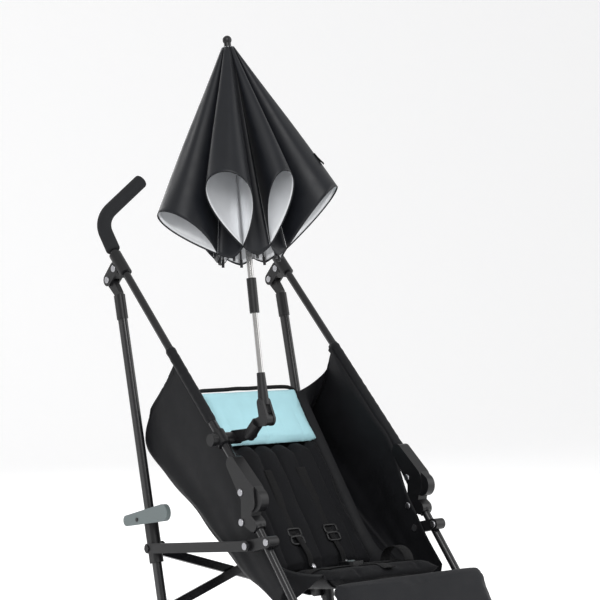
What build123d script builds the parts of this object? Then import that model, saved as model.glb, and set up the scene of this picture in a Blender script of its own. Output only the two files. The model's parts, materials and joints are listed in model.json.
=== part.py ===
from build123d import *
from math import atan, atan2, cos, degrees, pi, radians, sin, sqrt
import os

# An umbrella-fold baby stroller with a clip-on parasol, in millimetres.
# -Y is the way it rolls and +Z is up; left (-X, side -1) and right (+X, side +1) are as seen from in front.
# The origin is on the floor, midway between the rear wheels.

# ---------------------------------------------------------------- driving dimensions
track = 430.0                   # between the centre planes of the two side frames
fold_in = 65.0                  # each side frame moves this far inwards when folded
seat_lift = 50.0                # and the seat this far forwards of the tubes
upper_tube_radius = 8.0
tube_wall = 1.4
upper_tube_length = 560.0       # from the leg pivot's level down to the frame joint
upper_tube_slope = 44.5         # degrees from level
lower_tube_length = 292.0
lower_tube_slope = 50.0
leg_slope = 76.1
folded_leg_gap = 10.5           # degrees left between leg and front tube when folded
leg_depth = 24.0                # oval section of the rear leg, front to back
leg_width = 14.0
leg_start = 40.0                # the oval tube's ends, as distances down the leg from its pivot
leg_end = 748.0
leg_setback = 20.4              # the leg's axis stands this far in front of its pivot
leg_pivot = Vector(0, 192, 850)
tube_standoff = 47.1            # front tube axis to leg pivot
grip_radius = 15.0
grip_top = Vector(100, 232, 1058)   # end of the grip, measured in from the side plane
grip_bend = Vector(0, 235, 976)
handle_bend_radius = 62.0
bracket_radius = 13.0
bracket_length = 56.0
cheek_inner = 6.5               # the bracket's two cheeks stand either side of the leg's tongue
cheek_thickness = 5.0
tongue_gap = 0.5
rivet_radius = 4.0
rivet_head_radius = 7.0
rivet_head_height = 2.4
running_gap = 0.05
joint_centre = Vector(0, -283, 448)
joint_width = 26.0
lower_tube_top = Vector(0, -298, 388)
strut_pivot = Vector(0, -286, 347)
clip_front_rivet = Vector(0, -340, 359.5)
clip_width = 24.0
strut_inset = 13.0              # strut's inner face, outwards from the side plane
strut_thickness = 6.0
strut_height = 20.0
collar_station = 563.0          # distances along the leg, from the pivot
collar_length = 60.0
latch_collar_length = 105.0
collar_gap = 0.25
brace_inset = 20.0              # brace pivots stand this far inside the side planes
brace_height = 18.0
brace_thickness = 7.0
brace_gap = 2.0
rear_wheel_radius = 75.0
front_wheel_radius = 70.0
wheel_width = 22.0
tyre_depth = 15.0
wheel_inset = 11.5              # from the side plane to a wheel's inner face
wheel_gap = 0.5
axle_radius = 5.0
hub_radius = 12.0
rim_thickness = 5.0
web_thickness = 6.0
spoke_holes = 6
rear_foot_width = 18.0
swivel = Vector(0, -520, 0)
caster_trail = 25.0
housing_bottom = 146.0
housing_height = 40.0
housing_radius = 16.0
stem_radius = 5.0
fork_width = 14.0
pedal_pivot = Vector(0, 24, 116)
pedal_reach = 96.0
pedal_width = 50.0
pad_half_width = 137.0
crease = Vector(0, -250, 278)
back_slope = 53.2
back_length = 437.0
head_length = 141.0
back_thickness = 24.0
seat_slope = 7.3
seat_depth = 182.0
seat_start = 16.0               # from the crease forwards
seat_thickness = 28.0
leg_rest_top = Vector(0, -487, 303)
leg_rest_slope = 57.0
leg_rest_length = 165.0
leg_rest_half_width = 200.0
leg_rest_thickness = 22.0
soft_gap = 1.0
wing_thickness = 2.0
strap_width = 25.0
strap_thickness = 2.0
shoulder_strap_spacing = 90.0
shoulder_strap_length = 300.0
parasol_plane = -180.0          # the parasol stands in this plane, beside the left front tube
socket_station = 484.0          # along the upper tube, from the leg pivot's level
socket_mouth = Vector(0, -250, 572)
socket_radius = 12.0
plug_radius = 7.0
plug_length = 26.0
knuckle = Vector(0, -286, 586)
knuckle_radius = 13.0
pole_foot = Vector(0, -272, 633)
finial_top = Vector(0, -157, 1332)
lower_pole_radius = 5.25
upper_pole_radius = 6.0
sleeve_radius = 9.5
sleeve_start = 158.0            # from the pole's foot
sleeve_length = 68.0
finial_radius = 9.0
rib_count = 8
rib_length = 420.0
rib_radius = 1.6
rib_tip_radius = 60.0           # rib tips stand this far from the pole
crown_radius = 8.0
# the eight loose lobes, anticlockwise from the rear right: how far out each ridge stands, and its hem's rise
lobe_reach = (140.0, 140.0, 135.0, 180.0, 150.0, 140.0, 186.0, 150.0)
lobe_rise = (108.0, 108.0, 108.0, 94.0, 150.0, 150.0, 124.0, 108.0)
canopy_thickness = 2.0

# ---------------------------------------------------------------- directions and worked-out places
BASE = (Align.CENTER, Align.CENTER, Align.MIN)


def slope_down(degrees_down):
    """Unit vector forwards and down at an angle from level."""
    return Vector(0, -cos(radians(degrees_down)), -sin(radians(degrees_down)))


def across(direction):
    """Unit vector square to a direction in the side plane, on its forward upper side."""
    return Vector(0, direction.Z, -direction.Y)


half_track = track / 2
tube_down = slope_down(upper_tube_slope)
tube_front = across(tube_down)
leg_down = slope_down(leg_slope)
leg_front = across(leg_down)
lower_down = slope_down(lower_tube_slope)
tube_level = leg_pivot + tube_front * tube_standoff
bracket_rivet = tube_level - tube_front * (upper_tube_radius + rivet_radius + 1.9)
upper_tube_end = tube_level + tube_down * upper_tube_length
lower_tube_end = lower_tube_top + lower_down * lower_tube_length
leg_angle = leg_slope - upper_tube_slope - folded_leg_gap   # the leg turns this far in the fold


def on_leg(station, forward=0.0):
    """A point in the leg's side plane, by its distance down the leg from the pivot."""
    return leg_pivot + leg_down * station + leg_front * (leg_setback + forward)


def on_folded_leg(station):
    """Where the fold brings a point of the leg, seen from its front tube."""
    turned = slope_down(leg_slope - leg_angle)
    return leg_pivot + turned * station + across(turned) * leg_setback


# The strut keeps its length, so the collar slides up the leg until it fits between the folded tubes.
strut_length = (on_leg(collar_station) - strut_pivot).length
folded_start = on_folded_leg(0) - strut_pivot
folded_run = slope_down(leg_slope - leg_angle)
half_b = folded_start.dot(folded_run)
folded_station = -half_b - sqrt(half_b**2 - folded_start.dot(folded_start) + strut_length**2)
collar_travel = collar_station - folded_station
open_reach = on_leg(collar_station) - strut_pivot
folded_reach = on_folded_leg(folded_station) - strut_pivot
strut_angle = degrees(atan2(folded_reach.Z, folded_reach.Y) - atan2(open_reach.Z, open_reach.Y))

# The crossed brace: its half-length and two angles follow from the travel and the inward move.
brace_half_span = half_track - brace_inset
mean_angle = atan(fold_in / (collar_travel / 2))
half_swing = sqrt(fold_in**2 + (collar_travel / 2) ** 2) / 2
swing = atan(cos(mean_angle) / (brace_half_span / half_swing - sin(mean_angle)))
brace_half_length = half_swing / sin(swing)
brace_open_angle = degrees(mean_angle - swing)
brace_swing = degrees(2 * swing)
bracket_station = collar_station + 2 * brace_half_length * sin(radians(brace_open_angle))

fold_axis = (Vector(1, 0, 0) * fold_in - tube_front * seat_lift)   # of the left side frame
fold_length = fold_axis.length

back_up = Vector(0, cos(radians(back_slope)), sin(radians(back_slope)))
back_plane = Plane(origin=crease, x_dir=(1, 0, 0), z_dir=(0, -back_up.Z, back_up.Y))
recline_axis = crease - back_plane.z_dir * (back_thickness + 2) + back_up * 3
seat_plane = Plane(
    origin=crease,
    x_dir=(-1, 0, 0),
    z_dir=(0, sin(radians(seat_slope)), cos(radians(seat_slope))),
)
leg_rest_down = slope_down(leg_rest_slope)
leg_rest_plane = Plane(origin=leg_rest_top, x_dir=(-1, 0, 0), z_dir=across(leg_rest_down))
leg_rest_axis = leg_rest_top - leg_rest_plane.z_dir * (leg_rest_thickness + 3) + leg_rest_down * 8
rear_axle = Vector(0, 0, rear_wheel_radius)
front_axle = swivel + Vector(0, caster_trail, front_wheel_radius)
pole_up = (finial_top - pole_foot).normalized()
pole_length = (finial_top - pole_foot).length
out_of_socket = tube_front
lever_pivot = on_leg(collar_station - collar_length / 2 - 30)


# ---------------------------------------------------------------- shape helpers
def at_x(x, point):
    return Vector(x, point.Y, point.Z)


def rod(start, end, radius, bore=0.0):
    """Round bar or tube between two points."""
    shape = Cylinder(radius, (end - start).length, align=BASE)
    if bore:
        shape -= Cylinder(bore, (end - start).length, align=BASE)
    return Plane(origin=start, z_dir=end - start) * shape


def cross_rod(x_from, x_to, point, radius):
    """Round bar along X through a point of the side plane."""
    low, high = min(x_from, x_to), max(x_from, x_to)
    return rod(at_x(low, point), at_x(high, point), radius)


def plate(x_from, x_to, *discs):
    """Plate square to X whose outline wraps round discs, each a point and a radius."""
    edges = [(Pos(p.Y, p.Z) * Circle(r)).edge() for p, r in discs]
    outline = make_hull(edges) if len(discs) > 1 else Pos(discs[0][0].Y, discs[0][0].Z) * Circle(discs[0][1])
    low, high = min(x_from, x_to), max(x_from, x_to)
    return Plane(origin=(low, 0, 0), x_dir=(0, 1, 0), z_dir=(1, 0, 0)) * extrude(outline, amount=high - low)


def mid_plate(side, width, *discs):
    """Plate centred on a side plane."""
    x = side * half_track
    return plate(x - width / 2, x + width / 2, *discs)


def leg_bar(side, start, end, depth, width):
    """Oval bar along the rear leg, between two stations."""
    base = at_x(side * half_track, on_leg(start))
    section = Plane(origin=base, x_dir=leg_front, z_dir=leg_down) * SlotOverall(depth, width)
    return extrude(section, amount=end - start, dir=leg_down)


def rivet(side, point, half_width):
    """Rivet along X with a domed head at each end."""
    x = side * half_track
    shank = cross_rod(x - half_width, x + half_width, point, rivet_radius)
    for way in (-1, 1):
        face = Plane(origin=at_x(x + way * half_width, point), z_dir=(way, 0, 0))
        head = Cylinder(rivet_head_radius, rivet_head_height, align=BASE)
        head = fillet(head.edges().group_by(Axis.Z)[-1], rivet_head_height * 0.8)
        shank += face * head
    return shank


def save(name, shape):
    """Write one sub-part as its own STEP file."""
    solids = shape.solids()
    shape = solids[0] if len(solids) == 1 else Compound(children=solids)
    export_step(shape, f"parts/{name}.step")


def slab(plane, width, start, length, thickness, corner):
    """Flat pad lying under a plane's local y axis, rounded at its corners."""
    pad = Box(width, length, thickness, align=(Align.CENTER, Align.MIN, Align.MAX))
    pad = fillet(pad.edges().filter_by(Axis.Z), corner)
    return plane * (Pos(0, start, 0) * pad)


# ---------------------------------------------------------------- side frames
def handle_path(side):
    """Centre line of the bent tube, from the grip's end down to the frame joint."""
    x = side * half_track
    top = Vector(x - side * grip_top.X, grip_top.Y, grip_top.Z)
    knee = tube_level - tube_down * 23
    return FilletPolyline(
        top, at_x(x, grip_bend), at_x(x, knee), at_x(x, upper_tube_end),
        radius=[handle_bend_radius, 150],
    )


def swept(path, radius):
    start = path ^ 0
    return sweep(Plane(start.position, z_dir=path % 0) * Circle(radius), path=path)


def grip_path(side):
    """The stretch of the handle under the foam."""
    x = side * half_track
    top = Vector(x - side * grip_top.X, grip_top.Y, grip_top.Z)
    bend = at_x(x, grip_bend)
    knee = at_x(x, tube_level - tube_down * 23)
    low = knee + (bend - knee).normalized() * 14
    return FilletPolyline(top + (top - bend).normalized() * 6, bend, low, radius=handle_bend_radius)


def make_upper_tube(side, hollow=True):
    path = handle_path(side)
    tube = swept(path, upper_tube_radius)
    return tube - swept(path, upper_tube_radius - tube_wall) if hollow else tube


def make_grip(side, tube):
    path = grip_path(side)
    foam = swept(path, grip_radius)
    ends = foam.edges().filter_by(GeomType.CIRCLE).sort_by(Axis.Z)
    foam = fillet([ends[0], ends[-1]], 5)
    return foam - tube


def make_handle_bracket(side, tube):
    """Clamp round the tube with two cheeks that hold the rear leg."""
    x = side * half_track
    half = bracket_length / 2
    clamp = rod(
        at_x(x, tube_level - tube_down * half), at_x(x, tube_level + tube_down * half), bracket_radius
    )
    reach = cheek_inner + cheek_thickness
    ear = plate(x - reach, x + reach, (leg_pivot, 13), (bracket_rivet, 14))
    slot = plate(x - cheek_inner, x + cheek_inner, (leg_pivot - tube_front * 16, 36))
    slot -= rod(at_x(x, tube_level - tube_down * 90), at_x(x, tube_level + tube_down * 90), bracket_radius)
    bracket = clamp + ear - slot - tube
    bracket -= cross_rod(x - reach, x + reach, leg_pivot, rivet_radius)
    bracket -= cross_rod(x - reach, x + reach, bracket_rivet, rivet_radius)
    return bracket


def make_frame_joint(side, upper, lower):
    """Housing that joins the upper tube to the set-back lower tube, with a rounded dock on its front."""
    body = mid_plate(
        side, joint_width,
        (upper_tube_end - tube_down * 12, 14), (joint_centre, 21),
        (joint_centre + Vector(0, -6, -18), 18),
    )
    neck = mid_plate(side, joint_width - 2, (joint_centre + Vector(0, 4, -50), 15), (lower_tube_top, 13))
    neck += mid_plate(side, joint_width - 2, (joint_centre, 20), (joint_centre + Vector(0, 4, -50), 15))
    dock = mid_plate(side, joint_width - 8, (joint_centre + Vector(0, -18, -13), 22), (joint_centre, 20))
    sleeve = rod(
        at_x(side * half_track, lower_tube_top - lower_down * 4),
        at_x(side * half_track, lower_tube_top + lower_down * 12), 12,
    )
    body = body + neck + dock + sleeve - upper - lower
    for point in joint_rivets:
        body -= cross_rod(side * half_track - 20, side * half_track + 20, point, rivet_radius)
    return body


joint_rivets = [joint_centre + Vector(0, 20, -1), joint_centre + Vector(0, 17, -58)]


def make_lower_tube(side, hollow=True):
    x = side * half_track
    bore = upper_tube_radius - tube_wall if hollow else 0
    return rod(at_x(x, lower_tube_top), at_x(x, lower_tube_end), upper_tube_radius, bore)


def make_strut_clip(side, lower):
    """Block clamped across the lower tube; its rear rivet is the strut's pivot."""
    clip = mid_plate(side, clip_width, (strut_pivot, 11), (clip_front_rivet, 11))
    clip -= lower
    x = side * half_track
    for point in (strut_pivot, clip_front_rivet):
        clip -= cross_rod(x - clip_width, x + clip_width, point, rivet_radius)
    return clip


def make_caster_housing(side, lower):
    x = side * half_track
    top = housing_bottom + housing_height
    barrel = Pos(x, swivel.Y, housing_bottom) * Cylinder(housing_radius, housing_height, align=BASE)
    sleeve = rod(at_x(x, lower_tube_end - lower_down * 42), at_x(x, lower_tube_end), 12)
    web = mid_plate(
        side, 20, (lower_tube_end - lower_down * 12, 12), (Vector(0, swivel.Y + 4, top - 13), 11)
    )
    housing = barrel + sleeve + web - lower
    foot = Pos(x, swivel.Y, housing_bottom)
    floor_cut = foot * Box(120, 160, 60, align=(Align.CENTER, Align.CENTER, Align.MAX))
    bore = foot * Cylinder(stem_radius + running_gap, housing_height - 5, align=BASE)
    return housing - floor_cut - bore


def make_frame_rivets(side):
    reach = cheek_inner + cheek_thickness
    x = side * half_track
    group = [rivet(side, leg_pivot, reach), rivet(side, bracket_rivet, reach)]
    group += [rivet(side, p, joint_width / 2) for p in joint_rivets]
    group.append(rivet(side, clip_front_rivet, clip_width / 2))
    pin_end = x + side * (strut_inset + strut_thickness + 0.5)
    pin = cross_rod(x - side * clip_width / 2, pin_end, strut_pivot, rivet_radius)
    tip = Plane(origin=at_x(pin_end, strut_pivot), z_dir=(side, 0, 0))
    pin += tip * Cylinder(rivet_head_radius, rivet_head_height, align=BASE)
    heel = Plane(origin=at_x(x - side * clip_width / 2, strut_pivot), z_dir=(-side, 0, 0))
    pin += heel * Cylinder(rivet_head_radius, rivet_head_height, align=BASE)
    group.append(pin)
    return Compound(children=[s for g in group for s in g.solids()])


# ---------------------------------------------------------------- wheels
def make_rim(x, centre, radius, bore):
    outer = radius - tyre_depth
    half = wheel_width / 2
    ring = Cylinder(outer, wheel_width - 4, rotation=(0, 90, 0))
    ring -= Cylinder(outer - rim_thickness, wheel_width, rotation=(0, 90, 0))
    web = Cylinder(outer - rim_thickness + 0.5, web_thickness, rotation=(0, 90, 0))
    hub = Cylinder(hub_radius, wheel_width, rotation=(0, 90, 0))
    wheel = ring + web + hub
    mid_radius = (hub_radius + outer - rim_thickness) / 2
    hole_radius = min((outer - rim_thickness - hub_radius) / 2, mid_radius * sin(pi / spoke_holes)) - 3
    for k in range(spoke_holes):
        angle = 2 * pi * k / spoke_holes
        hole = Cylinder(hole_radius, wheel_width, rotation=(0, 90, 0))
        wheel -= Pos(0, mid_radius * cos(angle), mid_radius * sin(angle)) * hole
    wheel -= Cylinder(bore, wheel_width + 2, rotation=(0, 90, 0))
    return Pos(x, centre.Y, centre.Z) * wheel


def make_tyre(x, centre, radius):
    tyre = Cylinder(radius, wheel_width, rotation=(0, 90, 0))
    tyre = fillet(tyre.edges(), 7)
    tyre -= Cylinder(radius - tyre_depth, wheel_width + 2, rotation=(0, 90, 0))
    return Pos(x, centre.Y, centre.Z) * tyre


def wheel_pair(side, centre, radius, bore):
    """A left and a right wheel either side of one side plane: their rims, and their tyres."""
    rims, tyres = [], []
    for way in (-1, 1):
        x = side * half_track + way * (wheel_inset + wheel_width / 2)
        rims.append(make_rim(x, centre, radius, bore))
        tyres.append(make_tyre(x, centre, radius))
    return Compound(children=rims), Compound(children=tyres)


def make_axle(side, centre, radius):
    """Axle with a cap at each end."""
    x = side * half_track
    end = wheel_inset + wheel_width + wheel_gap
    axle = cross_rod(x - end, x + end, centre, radius)
    for way in (-1, 1):
        face = Plane(origin=at_x(x + way * end, centre), z_dir=(way, 0, 0))
        axle += face * Cylinder(radius + 4, 2.5, align=BASE)
    return axle


def make_caster_fork(side):
    """Swivelling leg between the two front wheels, with its stem and axle."""
    x = side * half_track
    fork = mid_plate(side, fork_width, (swivel + Vector(0, 0, 127), 12), (front_axle, 14))
    collar = Pos(x, swivel.Y, 136) * Cylinder(fork_width / 2, housing_bottom - wheel_gap - 136, align=BASE)
    flange = Pos(x, swivel.Y, 140.5) * Cylinder(14, housing_bottom - wheel_gap - 140.5, align=BASE)
    stem = Pos(x, swivel.Y, 136) * Cylinder(stem_radius, housing_bottom + housing_height - 136 - 6, align=BASE)
    return fork + collar + flange + stem + make_axle(side, front_axle, axle_radius - 1)


# ---------------------------------------------------------------- rear legs
def make_rear_leg(side, hollow=True):
    leg = leg_bar(side, leg_start, leg_end, leg_depth, leg_width)
    if hollow:
        leg -= leg_bar(side, leg_start - 1, leg_end + 1, leg_depth - 2 * tube_wall, leg_width - 2 * tube_wall)
    return leg


def make_leg_fittings(side, leg):
    """Head with the pivot tongue, brace bracket, and foot that carries the rear axle."""
    x = side * half_track
    tongue = mid_plate(side, 2 * (cheek_inner - tongue_gap), (leg_pivot, 12), (on_leg(34), 8))
    head = tongue + leg_bar(side, leg_start - 3, leg_start + 48, leg_depth + 3, leg_width + 5) - leg
    head -= cross_rod(x - 20, x + 20, leg_pivot, rivet_radius + running_gap)
    foot = mid_plate(
        side, rear_foot_width,
        (rear_axle, 16), (on_leg(leg_end - 13), 15), (pedal_pivot, 9),
    )
    foot += leg_bar(side, leg_end - 58, leg_end + 4, leg_depth + 6, leg_width + 5)
    foot -= leg
    foot -= cross_rod(x - 20, x + 20, rear_axle, axle_radius)
    pedal_slot = plate(x - 5, x + 5, (pedal_pivot, 12), (pedal_pivot + Vector(0, 30, 3), 12))
    foot -= pedal_slot
    foot -= cross_rod(x - 20, x + 20, pedal_pivot, rivet_radius - 1)
    bracket = leg_block(side, bracket_station, 36) - leg
    return head, bracket, foot


def leg_block(side, station, length):
    """Sleeve round the leg with an inward arm whose rear face carries a brace pivot."""
    sleeve = leg_bar(side, station - length / 2, station + length / 2, leg_depth + 10, leg_width + 8)
    inner = half_track - brace_inset - 10
    depth = leg_depth / 2 + 5
    frame = Plane(origin=at_x(0, on_leg(station)), x_dir=(1, 0, 0), z_dir=leg_down * -1)
    arm = Box(half_track - inner, 14, 26, align=(Align.MIN, Align.MIN, Align.CENTER))
    arm = fillet(arm.edges().filter_by(Axis.Y), 8)
    if side < 0:
        arm = Pos(-half_track, 0, 0) * arm
    else:
        arm = Pos(inner, 0, 0) * arm
    # local y of this frame runs square to the leg; the arm sits on its rear side
    local_rear = frame.y_dir.dot(leg_front) < 0
    arm = Pos(0, depth - 14 if local_rear else -depth, 0) * arm
    return sleeve + frame * arm


def rear_of_leg(station, offset):
    """A point behind the leg's axis at one station."""
    return on_leg(station, -offset)


brace_plane_a = leg_depth / 2 + 5 + brace_gap
brace_plane_b = brace_plane_a + brace_thickness + brace_gap


def brace_pin(side, station, reach):
    """Pin standing out behind a leg block, through the bar that turns on it."""
    x = side * (half_track - brace_inset)
    start = at_x(x, rear_of_leg(station, leg_depth / 2 + 5 - 8))
    end = at_x(x, rear_of_leg(station, reach + brace_thickness + 0.5))
    tip = at_x(x, rear_of_leg(station, reach + brace_thickness + 3))
    return rod(start, end, rivet_radius) + rod(end, tip, rivet_head_radius)


def make_collar(side):
    """Sleeve that slides on the leg; the strut and a brace bar are hinged to it."""
    length = collar_length
    collar = leg_block(side, collar_station, length)
    if side < 0:
        top = collar_station + collar_length / 2 - latch_collar_length
        collar += leg_bar(side, top, collar_station, leg_depth + 10, leg_width + 8)
        x = side * half_track
        boss_start = x + side * (leg_width / 2 + 2)
        collar += cross_rod(boss_start, x + side * (strut_inset + strut_thickness + 4), lever_pivot, 7)
        pin_end = x + side * (strut_inset + strut_thickness + 16)
        collar += cross_rod(boss_start, pin_end, lever_pivot, rivet_radius)
        spacer = at_x(side * (half_track - brace_inset), rear_of_leg(collar_station, leg_depth / 2 + 4))
        spacer_end = at_x(side * (half_track - brace_inset), rear_of_leg(collar_station, brace_plane_b - 0.5))
        collar += rod(spacer, spacer_end, 8)
        collar += brace_pin(side, collar_station, brace_plane_b)
    tunnel = leg_bar(side, leg_start, leg_end, leg_depth + 2 * collar_gap, leg_width + 2 * collar_gap)
    return collar - tunnel


def make_strut(side):
    """Flat side strut from the clip on the front tube back to the sliding collar."""
    x_in = side * (half_track + strut_inset)
    x_out = side * (half_track + strut_inset + strut_thickness)
    back = on_leg(collar_station)
    strut = plate(x_in, x_out, (strut_pivot, strut_height / 2), (back, strut_height / 2))
    strut -= cross_rod(side * half_track, side * (half_track + 40), strut_pivot, rivet_radius + running_gap)
    outer = Plane(origin=at_x(x_out, back), z_dir=(side, 0, 0))
    inner = Plane(origin=at_x(x_in, back), z_dir=(-side, 0, 0))
    strut += outer * Cylinder(rivet_head_radius, rivet_head_height, align=BASE)
    strut += inner * Cylinder(rivet_radius, strut_inset - leg_width / 2 - 4 - 0.5, align=BASE)
    return strut


def make_brace_bar(bar):
    """One bar of the crossed brace. Bar "a" rises to the right, bar "b" falls to the right."""
    rise = radians(brace_open_angle)
    if bar == "a":
        station, offset, way = bracket_station, brace_plane_a, -1
    else:
        station, offset, way = collar_station, brace_plane_b, 1
    start = at_x(-brace_half_span, rear_of_leg(station, offset))
    run = Vector(1, 0, 0) * cos(rise) + leg_down * (way * sin(rise))
    end = start + run * (2 * brace_half_length)
    lie = Plane(origin=start, x_dir=run, z_dir=leg_front * -1)
    flat = SlotCenterToCenter(2 * brace_half_length, brace_height)
    shape = lie * (Pos(brace_half_length, 0, 0) * extrude(flat, amount=brace_thickness))
    rear = leg_front * -1
    shape -= rod(start - rear * 5, start + rear * 20, rivet_radius + running_gap)
    cap = end + rear * brace_thickness
    shape += rod(cap, cap + rear * rivet_head_height, rivet_head_radius)
    face = leg_depth / 2 + 5 + 0.5
    shape += rod(end, end - rear * (offset - face), rivet_radius + 1)
    centre = start + run * brace_half_length
    if bar == "a":
        shape += rod(centre, centre + rear * (brace_thickness + brace_gap - 0.5), rivet_radius + 2)
    else:
        head = centre + rear * brace_thickness
        shape += rod(head, head + rear * rivet_head_height, rivet_head_radius)
    return shape


def make_fold_lever():
    """Grey foot lever on the left collar that frees the fold."""
    x_in = -(half_track + strut_inset + strut_thickness + 4.5)
    x_out = x_in - 10
    lever = plate(x_out, x_in, (lever_pivot + Vector(0, 38, -6), 11), (lever_pivot + Vector(0, -86, 22), 17))
    lever -= cross_rod(x_out - 5, x_in + 5, lever_pivot, rivet_radius + running_gap)
    return lever


def make_brake_pedal(side):
    """Foot pedal behind the rear wheels, hinged in the foot."""
    x = side * half_track
    end = pedal_pivot + Vector(0, pedal_reach - 24, 6)
    arm = plate(x - 4.5, x + 4.5, (pedal_pivot, 8), (end - Vector(0, 10, 0), 6))
    tread = plate(x - pedal_width / 2, x + pedal_width / 2, (end, 5), (end + Vector(0, 18, -2), 4))
    pin_reach = rear_foot_width / 2
    pin = cross_rod(x - pin_reach, x + pin_reach, pedal_pivot, rivet_radius - 1 - running_gap)
    return arm + tread + pin


# ---------------------------------------------------------------- seat
def make_seat_pad():
    return slab(seat_plane, 2 * pad_half_width, seat_start, seat_depth, seat_thickness, 12)


def make_backrest_pad():
    return slab(back_plane, 2 * pad_half_width, 0, back_length - head_length - soft_gap, back_thickness, 6)


def make_head_pad():
    return slab(back_plane, 2 * pad_half_width, back_length - head_length, head_length, back_thickness, 6)


def make_leg_rest():
    return slab(leg_rest_plane, 2 * leg_rest_half_width, 0, leg_rest_length, leg_rest_thickness, 10)


def make_wing(side):
    """Side fabric from the front tube down to the edge of the back and seat."""
    pad_x = pad_half_width + 4
    stations = [
        ((-372, 283), (-352, 240), (-400, 297)),
        ((-318, 340), (-290, 266), (-335, 296)),
        ((-262, 418), (-225, 296), (-266, 296)),
        ((-205, 506), (-130, 364), (-212, 346)),
        ((-150, 560), (-62, 410), (-160, 414)),
        ((-95, 614), (15, 460), (-112, 478)),
        ((-60, 648), (80, 512), (-75, 528)),
        ((-38, 670), (76, 565), (-42, 572)),
        ((-24, 684), (34, 610), (-24, 597)),
        ((-14, 694), (-11, 657), (-8, 618)),
    ]
    sheets = []
    for row, (top, bulge, low) in enumerate(stations):
        # the low rows pass inside the clip below the frame joint
        tube_x = half_track - (19 if row < 3 else upper_tube_radius + 3)
        middle_x = half_track - (22 if row < 3 else 16)
        loop = [
            Vector(side * tube_x, top[0], top[1]),
            Vector(side * middle_x, bulge[0], bulge[1]),
            Vector(side * pad_x, low[0], low[1]),
        ]
        sheets.append(loop)
    return shell_between(sheets, side * wing_thickness)


def shell_between(rows, thickness):
    """Closed thin shell, in flat triangles, between a grid of points and the same grid moved off its own sheet."""
    count, width = len(rows), len(rows[0])

    def moved(i, j):
        along = rows[min(i + 1, count - 1)][j] - rows[max(i - 1, 0)][j]
        over = rows[i][min(j + 1, width - 1)] - rows[i][max(j - 1, 0)]
        return rows[i][j] + over.cross(along).normalized() * thickness

    front = rows
    back = [[moved(i, j) for j in range(width)] for i in range(count)]
    faces = []

    def quad(a, b, c, d):
        faces.append(triangle(a, b, c))
        faces.append(triangle(a, c, d))

    for i in range(count - 1):
        for j in range(width - 1):
            quad(front[i][j], front[i + 1][j], front[i + 1][j + 1], front[i][j + 1])
            quad(back[i][j], back[i][j + 1], back[i + 1][j + 1], back[i + 1][j])
        for j in (0, width - 1):
            quad(front[i][j], back[i][j], back[i + 1][j], front[i + 1][j])
    for i in (0, count - 1):
        for j in range(width - 1):
            quad(front[i][j], front[i][j + 1], back[i][j + 1], back[i][j])
    return Solid(Shell(faces))


def make_footrest_strap():
    """Webbing band across the lower tubes, behind the calves."""
    middle = lower_tube_top + lower_down * (lower_tube_length - 78)
    span = 2 * (half_track - upper_tube_radius - 2)
    plane = Plane(origin=middle, x_dir=(-1, 0, 0), z_dir=across(lower_down))
    band = Box(span, 46, strap_thickness)
    return plane * band


def make_shoulder_straps():
    straps = []
    strap_align = (Align.CENTER, Align.MIN, Align.MIN)
    for way in (-1, 1):
        band = Box(strap_width, shoulder_strap_length, strap_thickness, align=strap_align)
        straps.append(back_plane * (Pos(way * shoulder_strap_spacing / 2, 22, 0.5) * band))
    return Compound(children=[s for g in straps for s in g.solids()])


buckle_start = seat_start + 58


def make_lap_straps():
    straps = []
    for way in (-1, 1):
        reach = pad_half_width - 6 - 20
        band = Box(reach, strap_width, strap_thickness, align=(Align.MIN, Align.CENTER, Align.MIN))
        if way < 0:
            band = mirror(band, about=Plane.YZ)
        straps.append(seat_plane * (Pos(way * 20, buckle_start, 0.5) * band))
    crotch = Box(strap_width, 62, strap_thickness, align=(Align.CENTER, Align.MIN, Align.MIN))
    straps.append(seat_plane * (Pos(0, buckle_start + 22, 0.5) * crotch))
    return Compound(children=[s for g in straps for s in g.solids()])


def make_buckle():
    body = Box(38, 42, 14, align=(Align.CENTER, Align.CENTER, Align.MIN))
    body = fillet(body.edges().filter_by(Axis.Z), 8)
    well = Pos(0, 0, 14) * Cylinder(8.3, 5, align=(Align.CENTER, Align.CENTER, Align.MAX))
    return seat_plane * (Pos(0, buckle_start, 0.5) * (body - well))


def make_buckle_button():
    button = Pos(0, 0, 12) * Cylinder(8, 3.6, align=BASE)
    return seat_plane * (Pos(0, buckle_start, 0.5) * button)


# ---------------------------------------------------------------- parasol
def make_parasol_socket(upper):
    """Clamp on the left front tube with a cup that takes the parasol's plug."""
    spot = tube_level + tube_down * socket_station
    tube_point = at_x(-half_track, spot)
    clamp = rod(tube_point - tube_down * 16, tube_point + tube_down * 16, 13)
    cup_root = socket_mouth - out_of_socket * (plug_length + 5)
    cup = rod(at_x(parasol_plane, cup_root), at_x(parasol_plane, socket_mouth), socket_radius)
    arm_ends = (cup_root + out_of_socket * 8, 10), (spot + out_of_socket * 4, 12)
    arm = plate(parasol_plane - 9, parasol_plane + 9, *arm_ends)
    bridge = cross_rod(-half_track, parasol_plane + 9, spot, 12)
    knob = cross_rod(-half_track - 12, -half_track - 26, spot - out_of_socket * 3, 12)
    neck = cross_rod(-half_track - 14, -half_track, spot - out_of_socket * 3, 8)
    socket = clamp + bridge + arm + cup + neck + knob - upper
    mouth = at_x(parasol_plane, socket_mouth)
    well = mouth - out_of_socket * (plug_length + 0.5)
    return socket - rod(well, mouth + out_of_socket * 4, plug_radius + running_gap)


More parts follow.
